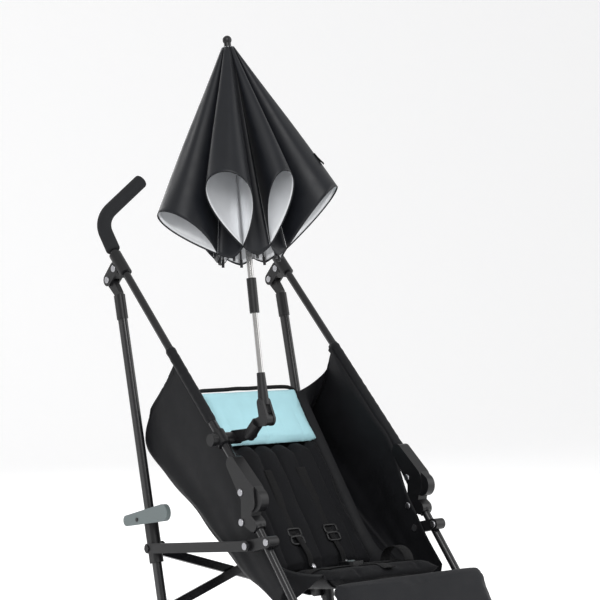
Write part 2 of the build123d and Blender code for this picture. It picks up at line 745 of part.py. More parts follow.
def make_parasol_plug():
    """Plug and the tongue of the tilting knuckle."""
    mouth = at_x(parasol_plane, socket_mouth)
    shoulder = mouth + out_of_socket * 0.5
    plug = rod(mouth - out_of_socket * plug_length, shoulder, plug_radius)
    flange = rod(shoulder, shoulder + out_of_socket * 7, socket_radius)
    jaw_ends = (socket_mouth + out_of_socket * 8, 8), (knuckle, knuckle_radius - 1)
    jaw = plate(parasol_plane - 5, parasol_plane + 5, *jaw_ends)
    jaw -= rod(mouth - out_of_socket * 40, shoulder, 30)
    shape = plug + flange + jaw
    return shape - cross_rod(parasol_plane - 20, parasol_plane + 20, knuckle, rivet_radius + running_gap)


def make_parasol_foot():
    """Fork and tapered sleeve at the foot of the pole, with the knuckle's pin."""
    cheeks = []
    for way in (-1, 1):
        near = parasol_plane + way * 5.5
        far = parasol_plane + way * 10.5
        cheeks.append(plate(near, far, (knuckle, knuckle_radius), (pole_foot - pole_up * 16, 9)))
    start = at_x(parasol_plane, pole_foot - pole_up * 20)
    taper = Plane(origin=start, z_dir=pole_up) * Cone(11, 8, 62, align=BASE)
    foot = cheeks[0] + cheeks[1] + taper
    swing_room = plate(parasol_plane - 5.5, parasol_plane + 5.5, (knuckle, knuckle_radius + 1.5))
    foot -= swing_room
    pin = cross_rod(parasol_plane - 10.5, parasol_plane + 10.5, knuckle, rivet_radius)
    hole_start = at_x(parasol_plane, pole_foot)
    foot -= rod(hole_start, hole_start + pole_up * 60, lower_pole_radius)
    return foot + pin


def make_parasol_pole():
    """Lower and upper pole tubes."""
    foot = at_x(parasol_plane, pole_foot)
    split = sleeve_start + sleeve_length / 2
    lower = rod(foot, foot + pole_up * split, lower_pole_radius)
    upper = rod(foot + pole_up * split, foot + pole_up * (pole_length - 24), upper_pole_radius)
    return Compound(children=[lower.solid(), upper.solid()])


def make_parasol_sleeve(pole):
    foot = at_x(parasol_plane, pole_foot)
    sleeve = rod(foot + pole_up * sleeve_start, foot + pole_up * (sleeve_start + sleeve_length), sleeve_radius)
    for solid in pole.solids():
        sleeve -= solid
    return sleeve


canopy_frame = Plane(origin=at_x(parasol_plane, finial_top - pole_up * 24), x_dir=(1, 0, 0), z_dir=pole_up)


def rib_angle(k):
    return 2 * pi * (k + 0.5) / rib_count


def make_parasol_frame():
    """Crown, runner, ribs and stretchers, each a separate solid."""
    crown = Pos(0, 0, -16) * (Cylinder(crown_radius, 12) - Cylinder(upper_pole_radius, 14))
    runner = Pos(0, 0, -300) * (Cylinder(10.5, 44) - Cylinder(upper_pole_radius + 0.3, 50))
    pieces = [crown, runner]
    top_gap = crown_radius + rib_radius + 0.4
    for k in range(rib_count):
        out = Vector(cos(rib_angle(k)), sin(rib_angle(k)), 0)
        start = out * top_gap + Vector(0, 0, -12)
        drop = sqrt(rib_length**2 - (rib_tip_radius - top_gap) ** 2)
        tip = out * rib_tip_radius + Vector(0, 0, -12 - drop)
        rib = rod(start, tip, rib_radius) + rod(tip - (tip - start).normalized() * 16, tip, rib_radius + 1.2)
        pieces.append(rib)
        low = out * 13 + Vector(0, 0, -282)
        share = 0.42
        high = start + (tip - start) * share - out * (2 * rib_radius + 0.6)
        pieces.append(rod(low, high, rib_radius * 0.8))
    shape = Compound(children=[s for g in pieces for s in g.solids()])
    return canopy_frame * shape


canopy_height = rib_length + 4
valley_radius = rib_tip_radius + 8
crown_cover_radius = crown_radius + 2 * rib_radius + canopy_thickness + 1.4
points_per_lobe = 8


def canopy_ring(shape):
    """Points round the pole; shape gives a lobe's radius and height, from 0 at a rib to 1 on its ridge."""
    ring = []
    for i in range(rib_count * points_per_lobe):
        angle = 2 * pi * (i / points_per_lobe + 0.5) / rib_count
        radius, height = shape(i // points_per_lobe, (1 - cos(2 * pi * i / points_per_lobe)) / 2)
        ring.append(Vector(radius * cos(angle), radius * sin(angle), height))
    return ring


def moved_in(ring, inset):
    """The same ring moved inwards, square to its own line seen from above."""
    moved = []
    for i, point in enumerate(ring):
        along = ring[(i + 1) % len(ring)] - ring[i - 1]
        along = Vector(along.X, along.Y, 0).normalized()
        moved.append(point - Vector(along.Y, -along.X, 0) * inset)
    return moved


def hem_point(lobe, wave):
    ridge_share = (canopy_height - lobe_rise[lobe]) / canopy_height
    full_reach = crown_cover_radius + (lobe_reach[lobe] - crown_cover_radius) / ridge_share
    share = 1 - (1 - ridge_share) * wave
    spread = valley_radius + (full_reach - valley_radius) * wave
    return crown_cover_radius + (spread - crown_cover_radius) * share, -canopy_height * share


def triangle(a, b, c):
    return Face(Wire(Polyline(a, b, c, close=True).edges()))


def make_parasol_canopy():
    """Hollow half-closed canopy: a lobed skirt below a small flat cap, open below."""
    top = canopy_ring(lambda lobe, wave: (crown_cover_radius, 0))
    hem = canopy_ring(hem_point)
    drop = Vector(0, 0, -canopy_thickness)
    rings = [
        canopy_ring(lambda lobe, wave: (upper_pole_radius, 0)), top, hem, moved_in(hem, canopy_thickness),
        [p + drop for p in moved_in(top, canopy_thickness)],
        canopy_ring(lambda lobe, wave: (upper_pole_radius, -canopy_thickness)),
    ]
    faces = []
    for upper, lower in zip(rings, rings[1:] + rings[:1]):
        for i in range(len(upper)):
            j = (i + 1) % len(upper)
            faces.append(triangle(upper[i], lower[i], lower[j]))
            faces.append(triangle(upper[i], lower[j], upper[j]))
    return canopy_frame * Solid(Shell(faces))


def make_parasol_finial():
    top = at_x(parasol_plane, finial_top)
    ball = Pos(*(top - pole_up * finial_radius)) * Sphere(finial_radius)
    collar = rod(top - pole_up * 24, top - pole_up * 15, 7)
    return ball + collar


# ---------------------------------------------------------------- writing the sub-parts
def build():
    os.makedirs("parts", exist_ok=True)
    for side, hand in ((-1, "left"), (1, "right")):
        upper = make_upper_tube(side, hollow=False)
        lower = make_lower_tube(side, hollow=False)
        leg = make_rear_leg(side, hollow=False)
        save(f"{hand}_upper_tube", make_upper_tube(side))
        save(f"{hand}_grip", make_grip(side, upper))
        save(f"{hand}_handle_bracket", make_handle_bracket(side, upper))
        save(f"{hand}_frame_joint", make_frame_joint(side, upper, lower))
        save(f"{hand}_lower_tube", make_lower_tube(side))
        save(f"{hand}_strut_clip", make_strut_clip(side, lower))
        save(f"{hand}_caster_housing", make_caster_housing(side, lower))
        save(f"{hand}_frame_rivets", make_frame_rivets(side))
        save(f"{hand}_caster_fork", make_caster_fork(side))
        rims, tyres = wheel_pair(side, front_axle, front_wheel_radius, axle_radius - 1 + running_gap)
        save(f"{hand}_front_rims", rims)
        save(f"{hand}_front_tyres", tyres)
        save(f"{hand}_rear_leg", make_rear_leg(side))
        head, bracket, foot = make_leg_fittings(side, leg)
        fittings = Compound(children=[s for g in (head, bracket, foot) for s in g.solids()])
        save(f"{hand}_leg_fittings", fittings)
        pins = [make_axle(side, rear_axle, axle_radius)]
        if side < 0:
            pins.append(brace_pin(side, bracket_station, brace_plane_a) - bracket)
        save(f"{hand}_leg_pins", Compound(children=[s for g in pins for s in g.solids()]))
        rims, tyres = wheel_pair(side, rear_axle, rear_wheel_radius, axle_radius + running_gap)
        save(f"{hand}_rear_rims", rims)
        save(f"{hand}_rear_tyres", tyres)
        save(f"{hand}_brake_pedal", make_brake_pedal(side))
        save(f"{hand}_collar", make_collar(side))
        save(f"{hand}_strut", make_strut(side))
        save(f"{hand}_wing", make_wing(side))
        if side < 0:
            save("parasol_socket", make_parasol_socket(upper))
    save("brace_bar_a", make_brace_bar("a"))
    save("brace_bar_b", make_brace_bar("b"))
    save("fold_lever", make_fold_lever())
    save("seat_pad", make_seat_pad())
    save("backrest_pad", make_backrest_pad())
    save("head_pad", make_head_pad())
    save("leg_rest", make_leg_rest())
    save("footrest_strap", make_footrest_strap())
    save("shoulder_straps", make_shoulder_straps())
    save("lap_straps", make_lap_straps())
    save("buckle", make_buckle())
    save("buckle_button", make_buckle_button())
    save("parasol_plug", make_parasol_plug())
    save("parasol_foot", make_parasol_foot())
    pole = make_parasol_pole()
    save("parasol_pole", pole)
    save("parasol_sleeve", make_parasol_sleeve(pole))
    save("parasol_frame", make_parasol_frame())
    save("parasol_canopy", make_parasol_canopy())
    save("parasol_finial", make_parasol_finial())


if __name__ == "__main__":
    build()
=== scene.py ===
import json
import bmesh
import bpy
import numpy as np
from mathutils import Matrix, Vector
from mathutils.bvhtree import BVHTree


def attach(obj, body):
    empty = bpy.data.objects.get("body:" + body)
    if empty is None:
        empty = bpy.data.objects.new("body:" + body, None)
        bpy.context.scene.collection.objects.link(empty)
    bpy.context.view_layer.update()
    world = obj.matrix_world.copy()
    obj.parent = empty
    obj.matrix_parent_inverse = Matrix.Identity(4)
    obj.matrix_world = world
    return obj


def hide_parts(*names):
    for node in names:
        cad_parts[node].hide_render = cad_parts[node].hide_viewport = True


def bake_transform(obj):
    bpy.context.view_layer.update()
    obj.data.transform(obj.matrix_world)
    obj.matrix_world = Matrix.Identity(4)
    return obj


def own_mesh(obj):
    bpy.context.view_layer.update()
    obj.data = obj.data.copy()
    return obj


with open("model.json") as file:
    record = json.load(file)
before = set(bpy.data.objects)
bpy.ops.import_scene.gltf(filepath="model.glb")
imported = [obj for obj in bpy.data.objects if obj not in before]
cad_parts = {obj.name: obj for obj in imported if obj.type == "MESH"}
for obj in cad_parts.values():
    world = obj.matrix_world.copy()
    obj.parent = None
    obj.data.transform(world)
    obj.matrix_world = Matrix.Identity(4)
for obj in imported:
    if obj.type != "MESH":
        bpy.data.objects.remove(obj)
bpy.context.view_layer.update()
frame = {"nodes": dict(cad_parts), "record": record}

nodes = frame["nodes"]
sides = {"left": -1, "right": 1}


# ------- places read from the frame
def vertsOf(node):
    # every vertex of a CAD node, in metres
    mesh = nodes[node].data
    flat = np.empty(len(mesh.vertices) * 3)
    mesh.vertices.foreach_get("co", flat)
    return flat.reshape(-1, 3)


def slabFrame(node, slope, way=1):
    # a flat pad's own frame: its origin at the middle of one end of its face, its run up the slope towards the rear
    # (way 1) or the front (way -1), and the direction out of its face
    verts = vertsOf(node)
    up = np.array([0.0, way * np.cos(np.radians(slope)), np.sin(np.radians(slope))])
    normal = np.array([0.0, -way * up[2], way * up[1]])
    a, n = verts @ up, verts @ normal
    return dict(origin=up * a.min() + normal * n.max(), up=up, normal=normal, length=float(np.ptp(a)),
                thick=float(np.ptp(n)), half=float(np.abs(verts[:, 0]).max()))


# ------- mesh tools: every shape is a grid of points worked out as one array
def gridQuads(rows, cols, wrapRows=False, wrapCols=False):
    # corners of the quads between neighbouring rows and columns
    r = np.arange(rows if wrapRows else rows - 1)
    c = np.arange(cols if wrapCols else cols - 1)
    i, j = np.meshgrid(r, c, indexing="ij")
    i2, j2 = (i + 1) % rows, (j + 1) % cols
    return np.stack([i * cols + j, i2 * cols + j, i2 * cols + j2, i * cols + j2], -1).reshape(-1, 4)


def makeMesh(name, points, quads):
    # a smooth-shaded object from points and quads given as whole arrays
    mesh = bpy.data.meshes.new(name)
    points = np.asarray(points, np.float32).reshape(-1, 3)
    quads = np.asarray(quads, np.int32)
    mesh.vertices.add(len(points))
    mesh.vertices.foreach_set("co", points.ravel())
    mesh.loops.add(quads.size)
    mesh.loops.foreach_set("vertex_index", quads.ravel())
    mesh.polygons.add(len(quads))
    mesh.polygons.foreach_set("loop_start", np.arange(len(quads), dtype=np.int32) * quads.shape[1])
    mesh.polygons.foreach_set("loop_total", np.full(len(quads), quads.shape[1], np.int32))
    mesh.update(calc_edges=True)
    mesh.validate()
    mesh.polygons.foreach_set("use_smooth", np.ones(len(mesh.polygons), bool))
    piece = bpy.data.objects.new(name, mesh)
    bpy.context.scene.collection.objects.link(piece)
    return piece


def mergeParts(name, parts):
    # several (points, quads) groups as one mesh
    points, quads, start = [], [], 0
    for p, q in parts:
        p = np.asarray(p).reshape(-1, 3)
        points.append(p)
        quads.append(np.asarray(q) + start)
        start += len(p)
    return makeMesh(name, np.vstack(points), np.vstack(quads))


def tidyNormals(piece, mergeAt=1e-5):
    # merges doubles and turns every face outwards
    bm = bmesh.new()
    bm.from_mesh(piece.data)
    bmesh.ops.remove_doubles(bm, verts=bm.verts, dist=mergeAt)
    bmesh.ops.recalc_face_normals(bm, faces=bm.faces)
    bm.to_mesh(piece.data)
    bm.free()
    return piece


def applyModifiers(piece):
    # bakes the modifiers into the mesh
    bpy.context.view_layer.update()
    baked = bpy.data.meshes.new_from_object(piece.evaluated_get(bpy.context.evaluated_depsgraph_get()))
    piece.modifiers.clear()
    piece.data = baked
    baked.polygons.foreach_set("use_smooth", np.ones(len(baked.polygons), bool))
    return piece


def unit(v):
    # vectors scaled to length 1
    v = np.asarray(v, float)
    return v / np.maximum(np.linalg.norm(v, axis=-1, keepdims=True), 1e-12)


def smoothPath(points, count, turns=3):
    # points joined by straight runs, resampled evenly, then averaged with their neighbours a few times
    points = np.asarray(points, float)
    reach = np.r_[0, np.cumsum(np.linalg.norm(np.diff(points, axis=0), axis=1))]
    at = np.linspace(0, reach[-1], count)
    path = np.stack([np.interp(at, reach, points[:, k]) for k in range(3)], 1)
    for _ in range(turns):
        path[1:-1] = (path[:-2] + 2 * path[1:-1] + path[2:]) / 4
    return path


def sweepGrid(path, radii, around=16, flatten=1.0, wideAxis=None):
    # a circle or oval of the given radii carried along a path, its ends closed to a point
    path = np.asarray(path, float)
    n = len(path)
    tangent = unit(np.gradient(path, axis=0))
    ref = np.array([0, 0, 1.0]) if wideAxis is None else np.asarray(wideAxis, float)
    if wideAxis is None and abs(tangent[:, 2]).max() > 0.9:
        ref = np.array([1.0, 0, 0])
    side = unit(np.cross(ref, tangent)) if wideAxis is None else unit(ref - tangent * (tangent @ ref)[:, None])
    other = np.cross(tangent, side)
    radii = np.broadcast_to(np.asarray(radii, float), (n,))
    angle = np.linspace(0, 2 * np.pi, around, endpoint=False)
    ring = (side[:, None] * np.cos(angle)[None, :, None]
            + other[:, None] * np.sin(angle)[None, :, None] * flatten)
    body = path[:, None] + ring * radii[:, None, None]
    first, last = np.repeat(path[:1, None], around, 1), np.repeat(path[-1:, None], around, 1)
    body = np.concatenate([first, body, last], 0)
    return body.reshape(-1, 3), gridQuads(n + 2, around, wrapCols=True)


def ribbonGrid(path, across, width, thickness):
    # a flat band: a rounded thin rectangle carried along a path
    path = np.asarray(path, float)
    tangent = unit(np.gradient(path, axis=0))
    across = unit(np.asarray(across, float) - tangent * (tangent @ np.asarray(across, float))[:, None])
    out = np.cross(tangent, across)
    h, t = width / 2, thickness / 2
    section = np.array([[-h, -t * .4], [-h * .96, -t], [0, -t], [h * .96, -t],
                        [h, -t * .4], [h, t * .4], [h * .96, t], [0, t], [-h * .96, t], [-h, t * .4]])
    ring = path[:, None] + across[:, None] * section[None, :, :1] + out[:, None] * section[None, :, 1:]
    count = len(section)
    first, last = np.repeat(path[:1, None], count, 1), np.repeat(path[-1:, None], count, 1)
    body = np.concatenate([first, ring, last], 0)
    return body.reshape(-1, 3), gridQuads(len(path) + 2, count, wrapCols=True)


def finishPiece(piece, body, material, stands=()):
    # its finish, its slot, the body it rides on and the CAD nodes it stands for
    piece.data.materials.clear()
    piece.data.materials.append(material)
    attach(piece, body)
    if stands:
        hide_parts(*stands)
    return piece


# ------- shader groups, each built once
def newGroup(name, inputs, outputs):
    group = bpy.data.node_groups.new(name, "ShaderNodeTree")
    for label, kind, value in inputs:
        socket = group.interface.new_socket(name=label, in_out="INPUT", socket_type=kind)
        if value is not None:
            socket.default_value = value
    for label, kind in outputs:
        group.interface.new_socket(name=label, in_out="OUTPUT", socket_type=kind)
    return group, group.nodes.new("NodeGroupInput"), group.nodes.new("NodeGroupOutput")


def addNode(tree, kind, **values):
    node = tree.nodes.new(kind)
    for key, value in values.items():
        setattr(node, key, value)
    return node


def mathNode(tree, operation, a, b=None):
    node = addNode(tree, "ShaderNodeMath", operation=operation)
    for k, value in enumerate((a, b)):
        if value is None:
            continue
        if isinstance(value, (int, float)):
            node.inputs[k].default_value = value
        else:
            tree.links.new(value, node.inputs[k])
    return node.outputs[0]


def buildWeave():
    # crossing threads: two sine bands, each lifted where the other dips, with a slow unevenness
    group, gin, gout = newGroup("threadWeave",
                                [("Vector", "NodeSocketVector", None), ("Threads", "NodeSocketFloat", 900.0)],
                                [("Height", "NodeSocketFloat"), ("Uneven", "NodeSocketFloat")])
    links = group.links
    scaled = addNode(group, "ShaderNodeVectorMath", operation="SCALE")
    links.new(gin.outputs["Vector"], scaled.inputs[0])
    links.new(gin.outputs["Threads"], scaled.inputs["Scale"])
    split = addNode(group, "ShaderNodeSeparateXYZ")
    links.new(scaled.outputs[0], split.inputs[0])
    warp = mathNode(group, "SINE", split.outputs[0])
    weft = mathNode(group, "SINE", mathNode(group, "ADD", split.outputs[1], split.outputs[2]))
    height = mathNode(group, "MULTIPLY", warp, weft)
    links.new(height, gout.inputs["Height"])
    noise = addNode(group, "ShaderNodeTexNoise")
    noise.inputs["Scale"].default_value = 38.0
    noise.inputs["Detail"].default_value = 5.0
    links.new(gin.outputs["Vector"], noise.inputs["Vector"])
    links.new(noise.outputs["Fac"], gout.inputs["Uneven"])
    return group


def buildGrain():
    # moulded texture: fine cells over a slow drift
    group, gin, gout = newGroup("mouldGrain",
                                [("Vector", "NodeSocketVector", None), ("Grain", "NodeSocketFloat", 1400.0)],
                                [("Height", "NodeSocketFloat"), ("Drift", "NodeSocketFloat")])
    fine = addNode(group, "ShaderNodeTexNoise")
    fine.inputs["Detail"].default_value = 3.0
    group.links.new(gin.outputs["Vector"], fine.inputs["Vector"])
    group.links.new(gin.outputs["Grain"], fine.inputs["Scale"])
    slow = addNode(group, "ShaderNodeTexNoise")
    slow.inputs["Scale"].default_value = 22.0
    slow.inputs["Detail"].default_value = 4.0
    group.links.new(gin.outputs["Vector"], slow.inputs["Vector"])
    group.links.new(fine.outputs["Fac"], gout.inputs["Height"])
    group.links.new(slow.outputs["Fac"], gout.inputs["Drift"])
    return group


def buildTone():
    # a colour drifting between a darker and a lighter shade by a mask
    group, gin, gout = newGroup("toneDrift",
                                [("Base", "NodeSocketColor", (0.5, 0.5, 0.5, 1)), ("Mask", "NodeSocketFloat", 0.5),
                                 ("Amount", "NodeSocketFloat", 0.2), ("Rough", "NodeSocketFloat", 0.5)],
                                [("Color", "NodeSocketColor"), ("Roughness", "NodeSocketFloat")])
    centred = mathNode(group, "SUBTRACT", gin.outputs["Mask"], 0.5)
    swing = mathNode(group, "MULTIPLY", centred, gin.outputs["Amount"])
    gain = mathNode(group, "ADD", swing, 1.0)
    scale = addNode(group, "ShaderNodeVectorMath", operation="SCALE")
    group.links.new(gin.outputs["Base"], scale.inputs[0])
    group.links.new(gain, scale.inputs["Scale"])
    group.links.new(scale.outputs[0], gout.inputs["Color"])
    rough = mathNode(group, "ADD", gin.outputs["Rough"], mathNode(group, "MULTIPLY", centred, 0.25))
    group.links.new(rough, gout.inputs["Roughness"])
    return group


weaveGroup, grainGroup, toneGroup = buildWeave(), buildGrain(), buildTone()


def newMaterial(name, color, rough, pattern="grain", scale=1400.0, bump=0.15, depth=0.0002, drift=0.25,
                metallic=0.0, sheen=0.0, coat=0.0, specular=0.5):
    # one finish: a tone drift on the colour and roughness, and a fine pattern on the normal
    material = bpy.data.materials.new(name)
    material.use_nodes = True
    tree = material.node_tree
    shader = tree.nodes["Principled BSDF"]
    where = addNode(tree, "ShaderNodeTexCoord")
    fine = addNode(tree, "ShaderNodeGroup", node_tree=weaveGroup if pattern == "weave" else grainGroup)
    tree.links.new(where.outputs["Object"], fine.inputs["Vector"])
    fine.inputs[1].default_value = scale
    tone = addNode(tree, "ShaderNodeGroup", node_tree=toneGroup)
    tone.inputs["Base"].default_value = (*color, 1)
    tone.inputs["Amount"].default_value = drift
    tone.inputs["Rough"].default_value = rough
    tree.links.new(fine.outputs[1], tone.inputs["Mask"])
    tree.links.new(tone.outputs["Color"], shader.inputs["Base Color"])
    tree.links.new(tone.outputs["Roughness"], shader.inputs["Roughness"])
    lift = addNode(tree, "ShaderNodeBump")
    lift.inputs["Strength"].default_value = bump
    lift.inputs["Distance"].default_value = depth
    tree.links.new(fine.outputs["Height"], lift.inputs["Height"])
    tree.links.new(lift.outputs["Normal"], shader.inputs["Normal"])
    shader.inputs["Metallic"].default_value = metallic
    shader.inputs["Sheen Weight"].default_value = sheen
    shader.inputs["Coat Weight"].default_value = coat
    shader.inputs["Coat Roughness"].default_value = 0.15
    shader.inputs["Specular IOR Level"].default_value = specular
    return material


recipes = dict(
    tubePaint=dict(color=(0.006, 0.006, 0.007), rough=0.22, scale=900.0, bump=0.05, coat=0.12, drift=0.3,
                   specular=0.38),
    blackPlastic=dict(color=(0.0062, 0.0062, 0.0070), rough=0.38, scale=1500.0, bump=0.25, drift=0.35,
                      specular=0.32),
    gripFoam=dict(color=(0.018, 0.0185, 0.020), rough=0.9, scale=2300.0, bump=0.9, depth=0.0004, drift=0.4,
                  specular=0.12),
    rivetSteel=dict(color=(0.40, 0.40, 0.42), rough=0.34, scale=1200.0, bump=0.1, metallic=1.0, drift=0.2),
    greyPlastic=dict(color=(0.125, 0.150, 0.152), rough=0.48, scale=1500.0, bump=0.25, drift=0.2, specular=0.35),
    rimPlastic=dict(color=(0.035, 0.036, 0.039), rough=0.42, scale=1500.0, bump=0.2, drift=0.25, specular=0.4),
    tyreRubber=dict(color=(0.013, 0.013, 0.0135), rough=0.8, scale=1900.0, bump=0.5, depth=0.0003, drift=0.5,
                    specular=0.2),
    seatCloth=dict(color=(0.0055, 0.0057, 0.0068), rough=0.8, pattern="weave", scale=3600.0, bump=0.35,
                   depth=0.00025, drift=0.8, sheen=0.02, specular=0.12),
    headCloth=dict(color=(0.36, 0.60, 0.655), rough=0.85, pattern="weave", scale=3600.0, bump=0.3, depth=0.0002,
                   drift=0.12, sheen=0.05, specular=0.15),
    wingCloth=dict(color=(0.0058, 0.0060, 0.0072), rough=0.56, pattern="weave", scale=4200.0, bump=0.22,
                   depth=0.0002, drift=0.6, sheen=0.01, specular=0.16),
    legCloth=dict(color=(0.0068, 0.0073, 0.0090), rough=0.62, pattern="weave", scale=4200.0, bump=0.25,
                  depth=0.0002, drift=0.45, sheen=0.03, specular=0.16),
    webbing=dict(color=(0.0045, 0.0045, 0.005), rough=0.68, pattern="weave", scale=2600.0, bump=0.6,
                 depth=0.0004, drift=0.5, sheen=0.02, specular=0.16),
    piping=dict(color=(0.0035, 0.0035, 0.004), rough=0.62, pattern="weave", scale=3600.0, bump=0.3, depth=0.0002,
                drift=0.3, sheen=0.02, specular=0.14),
    canopyOut=dict(color=(0.0052, 0.0060, 0.0082), rough=0.44, pattern="weave", scale=5200.0, bump=0.12,
                   depth=0.0001, drift=0.35, sheen=0.02, specular=0.24),
    canopyIn=dict(color=(0.56, 0.57, 0.585), rough=0.34, pattern="weave", scale=5200.0, bump=0.1, depth=0.0001,
                  drift=0.12, metallic=0.5, specular=0.5),
    poleChrome=dict(color=(0.42, 0.415, 0.41), rough=0.16, scale=700.0, bump=0.03, metallic=1.0, drift=0.15),
    ribSteel=dict(color=(0.030, 0.030, 0.032), rough=0.40, scale=900.0, bump=0.05, metallic=0.7, drift=0.2),
    axleSteel=dict(color=(0.36, 0.36, 0.37), rough=0.3, scale=900.0, bump=0.08, metallic=1.0, drift=0.2),
    careCloth=dict(color=(0.40, 0.41, 0.415), rough=0.8, pattern="weave", scale=3000.0, bump=0.3, depth=0.0003,
                   drift=0.35, sheen=0.05, specular=0.2),
)
finishes = {name: newMaterial(name, **recipe) for name, recipe in recipes.items()}

slotFinish = dict(tube="tubePaint", black_plastic="blackPlastic", grip_foam="gripFoam", rivet="rivetSteel",
                  grey_plastic="greyPlastic", rim="rimPlastic", tyre="tyreRubber", seat_fabric="seatCloth",
                  wing_fabric="wingCloth", head_fabric="headCloth", webbing="webbing", canopy="canopyOut",
                  pole_chrome="poleChrome", rib_steel="ribSteel", axle_steel="axleSteel")
for sub in frame["record"]["subparts"]:
    target = nodes[sub["node"]]
    target.data.materials.clear()
    target.data.materials.append(finishes[slotFinish[sub["material_slot"]]])
print("finishes placed on the CAD nodes")


# ------- camera, lights and floor
studio = dict(
    skySeen=1.0,
    cameraAt=(-2.6389, -3.3777, 0.8831), cameraTurn=(90.0, 0.0, -39.4), lens=123.7, shiftY=-0.0597,
    key=dict(at=(-2.2, -2.6, 3.0), size=2.4, power=95.0), fill=dict(at=(2.8, -2.4, 2.0), size=3.0, power=55.0),
    back=dict(at=(0.6, 2.8, 2.6), size=2.6, power=60.0), sky=0.75, floorTone=(0.93, 0.93, 0.935), floorGlow=0.16,
)


def placeStudio(facts):
    scene = bpy.context.scene
    camera = bpy.data.objects.new("camera", bpy.data.cameras.new("camera"))
    scene.collection.objects.link(camera)
    camera.location = facts["cameraAt"]
    camera.rotation_euler = np.radians(facts["cameraTurn"])
    camera.data.lens = facts["lens"]
    camera.data.shift_y = facts["shiftY"]
    camera.data.clip_end = 50
    scene.camera = camera
    for name in ("key", "fill", "back"):
        lamp = bpy.data.objects.new(name, bpy.data.lights.new(name, "AREA"))
        lamp.data.size = facts[name]["size"]
        lamp.data.energy = facts[name]["power"]
        lamp.location = facts[name]["at"]
        aim = np.array([0, -0.15, 0.6]) - np.array(facts[name]["at"])
        flat = np.hypot(aim[0], aim[1])
        lamp.rotation_euler = (np.arctan2(flat, -aim[2]), 0, np.arctan2(-aim[0], aim[1]))
        scene.collection.objects.link(lamp)
    world = bpy.data.worlds.new("softStudio")
    scene.world = world
    world.use_nodes = True
    world.node_tree.nodes["Background"].inputs["Color"].default_value = (1, 1, 1, 1)
    world.node_tree.nodes["Background"].inputs["Strength"].default_value = facts["sky"]
    # the lens sees a full white sky, while the sky lights the object more gently
    seen = addNode(world.node_tree, "ShaderNodeBackground")
    seen.inputs["Color"].default_value = (1, 1, 1, 1)
    seen.inputs["Strength"].default_value = facts["skySeen"]
    pick = addNode(world.node_tree, "ShaderNodeMixShader")
    rays = addNode(world.node_tree, "ShaderNodeLightPath")
    world.node_tree.links.new(rays.outputs["Is Camera Ray"], pick.inputs[0])
    world.node_tree.links.new(world.node_tree.nodes["Background"].outputs[0], pick.inputs[1])
    world.node_tree.links.new(seen.outputs[0], pick.inputs[2])
    world.node_tree.links.new(pick.outputs[0], world.node_tree.nodes["World Output"].inputs[0])
    scene.view_settings.view_transform = "Standard"
    gx, gy = np.meshgrid(np.linspace(-9, 12, 9), np.linspace(-9, 9, 60), indexing="ij")
    # a paper sweep: level out to the back, then curving up to a wall
    rise = np.clip(gy - 4.0, 0, None)
    floor = makeMesh("floor", np.stack([gx, gy, 0.22 * rise ** 2 - 0.0005], -1), gridQuads(9, 60))
    paper = newMaterial("floorPaper", facts["floorTone"], 0.7, scale=60.0, bump=0.0, drift=0.02)
    paper.node_tree.nodes["Principled BSDF"].inputs["Emission Color"].default_value = (1, 1, 1, 1)
    paper.node_tree.nodes["Principled BSDF"].inputs["Emission Strength"].default_value = facts["floorGlow"]
    floor.data.materials.append(paper)


placeStudio(studio)
print("studio placed")


# ------- padded pieces by cloth simulation
def slabShell(frameOf, length, half, thick, rows=40, cols=40, roundness=0.75, topEdge=None):
    # a pillow-like slab: top and bottom sheets that meet round the rim, thickest in the middle of its area
    u = np.sin(np.linspace(-np.pi / 2, np.pi / 2, cols))
    v = (np.sin(np.linspace(-np.pi / 2, np.pi / 2, rows)) + 1) / 2
    vv, uu = np.meshgrid(v, u, indexing="ij")
    edge = np.clip(1 - np.abs(uu) ** 8, 0, 1) * np.clip(1 - np.abs(2 * vv - 1) ** 10, 0, 1)
    lift = thick / 2 * edge ** roundness
    top = np.ones_like(uu) * length if topEdge is None else topEdge(uu * half)
    sheets = []
    for way in (1, -1):
        points = (frameOf["origin"][None, None] + np.array([1.0, 0, 0]) * (uu * half)[..., None]
                  + frameOf["up"] * (vv * top)[..., None]
                  + frameOf["normal"] * (-thick / 2 + way * lift)[..., None])
        quads = gridQuads(rows, cols)
        sheets.append((points.reshape(-1, 3), quads if way > 0 else quads[:, ::-1]))
    return sheets


def inflate(piece, voxel, pressure, cap, frames=20):
    # swells a closed pad with cloth under pressure, then holds every point within cap of where it began
    remesh = piece.modifiers.new("voxels", "REMESH")
    remesh.mode = "VOXEL"
    remesh.voxel_size = voxel
    applyModifiers(piece)
    count = len(piece.data.vertices)
    before = np.empty(count * 3, np.float32)
    piece.data.vertices.foreach_get("co", before)
    cloth = piece.modifiers.new("cloth", "CLOTH")
    cloth.settings.quality = 4
    cloth.settings.mass = 0.25
    cloth.settings.use_pressure = True
    cloth.settings.uniform_pressure_force = pressure
    cloth.settings.effector_weights.gravity = 0.0
    cloth.settings.tension_stiffness = 12
    cloth.settings.compression_stiffness = 12
    cloth.point_cache.frame_start = 1
    cloth.point_cache.frame_end = frames
    for f in range(1, frames + 1):
        bpy.context.scene.frame_set(f)
    applyModifiers(piece)
    bpy.context.scene.frame_set(1)
    after = np.empty(count * 3, np.float32)
    piece.data.vertices.foreach_get("co", after)
    move = (after - before).reshape(-1, 3)
    far = np.linalg.norm(move, axis=1, keepdims=True)
    move *= np.minimum(1, cap / np.maximum(far, 1e-9))
    piece.data.vertices.foreach_set("co", (before.reshape(-1, 3) + move).ravel())
    soft = piece.modifiers.new("smooth", "SUBSURF")
    soft.levels = soft.render_levels = 1
    applyModifiers(piece)
    return piece


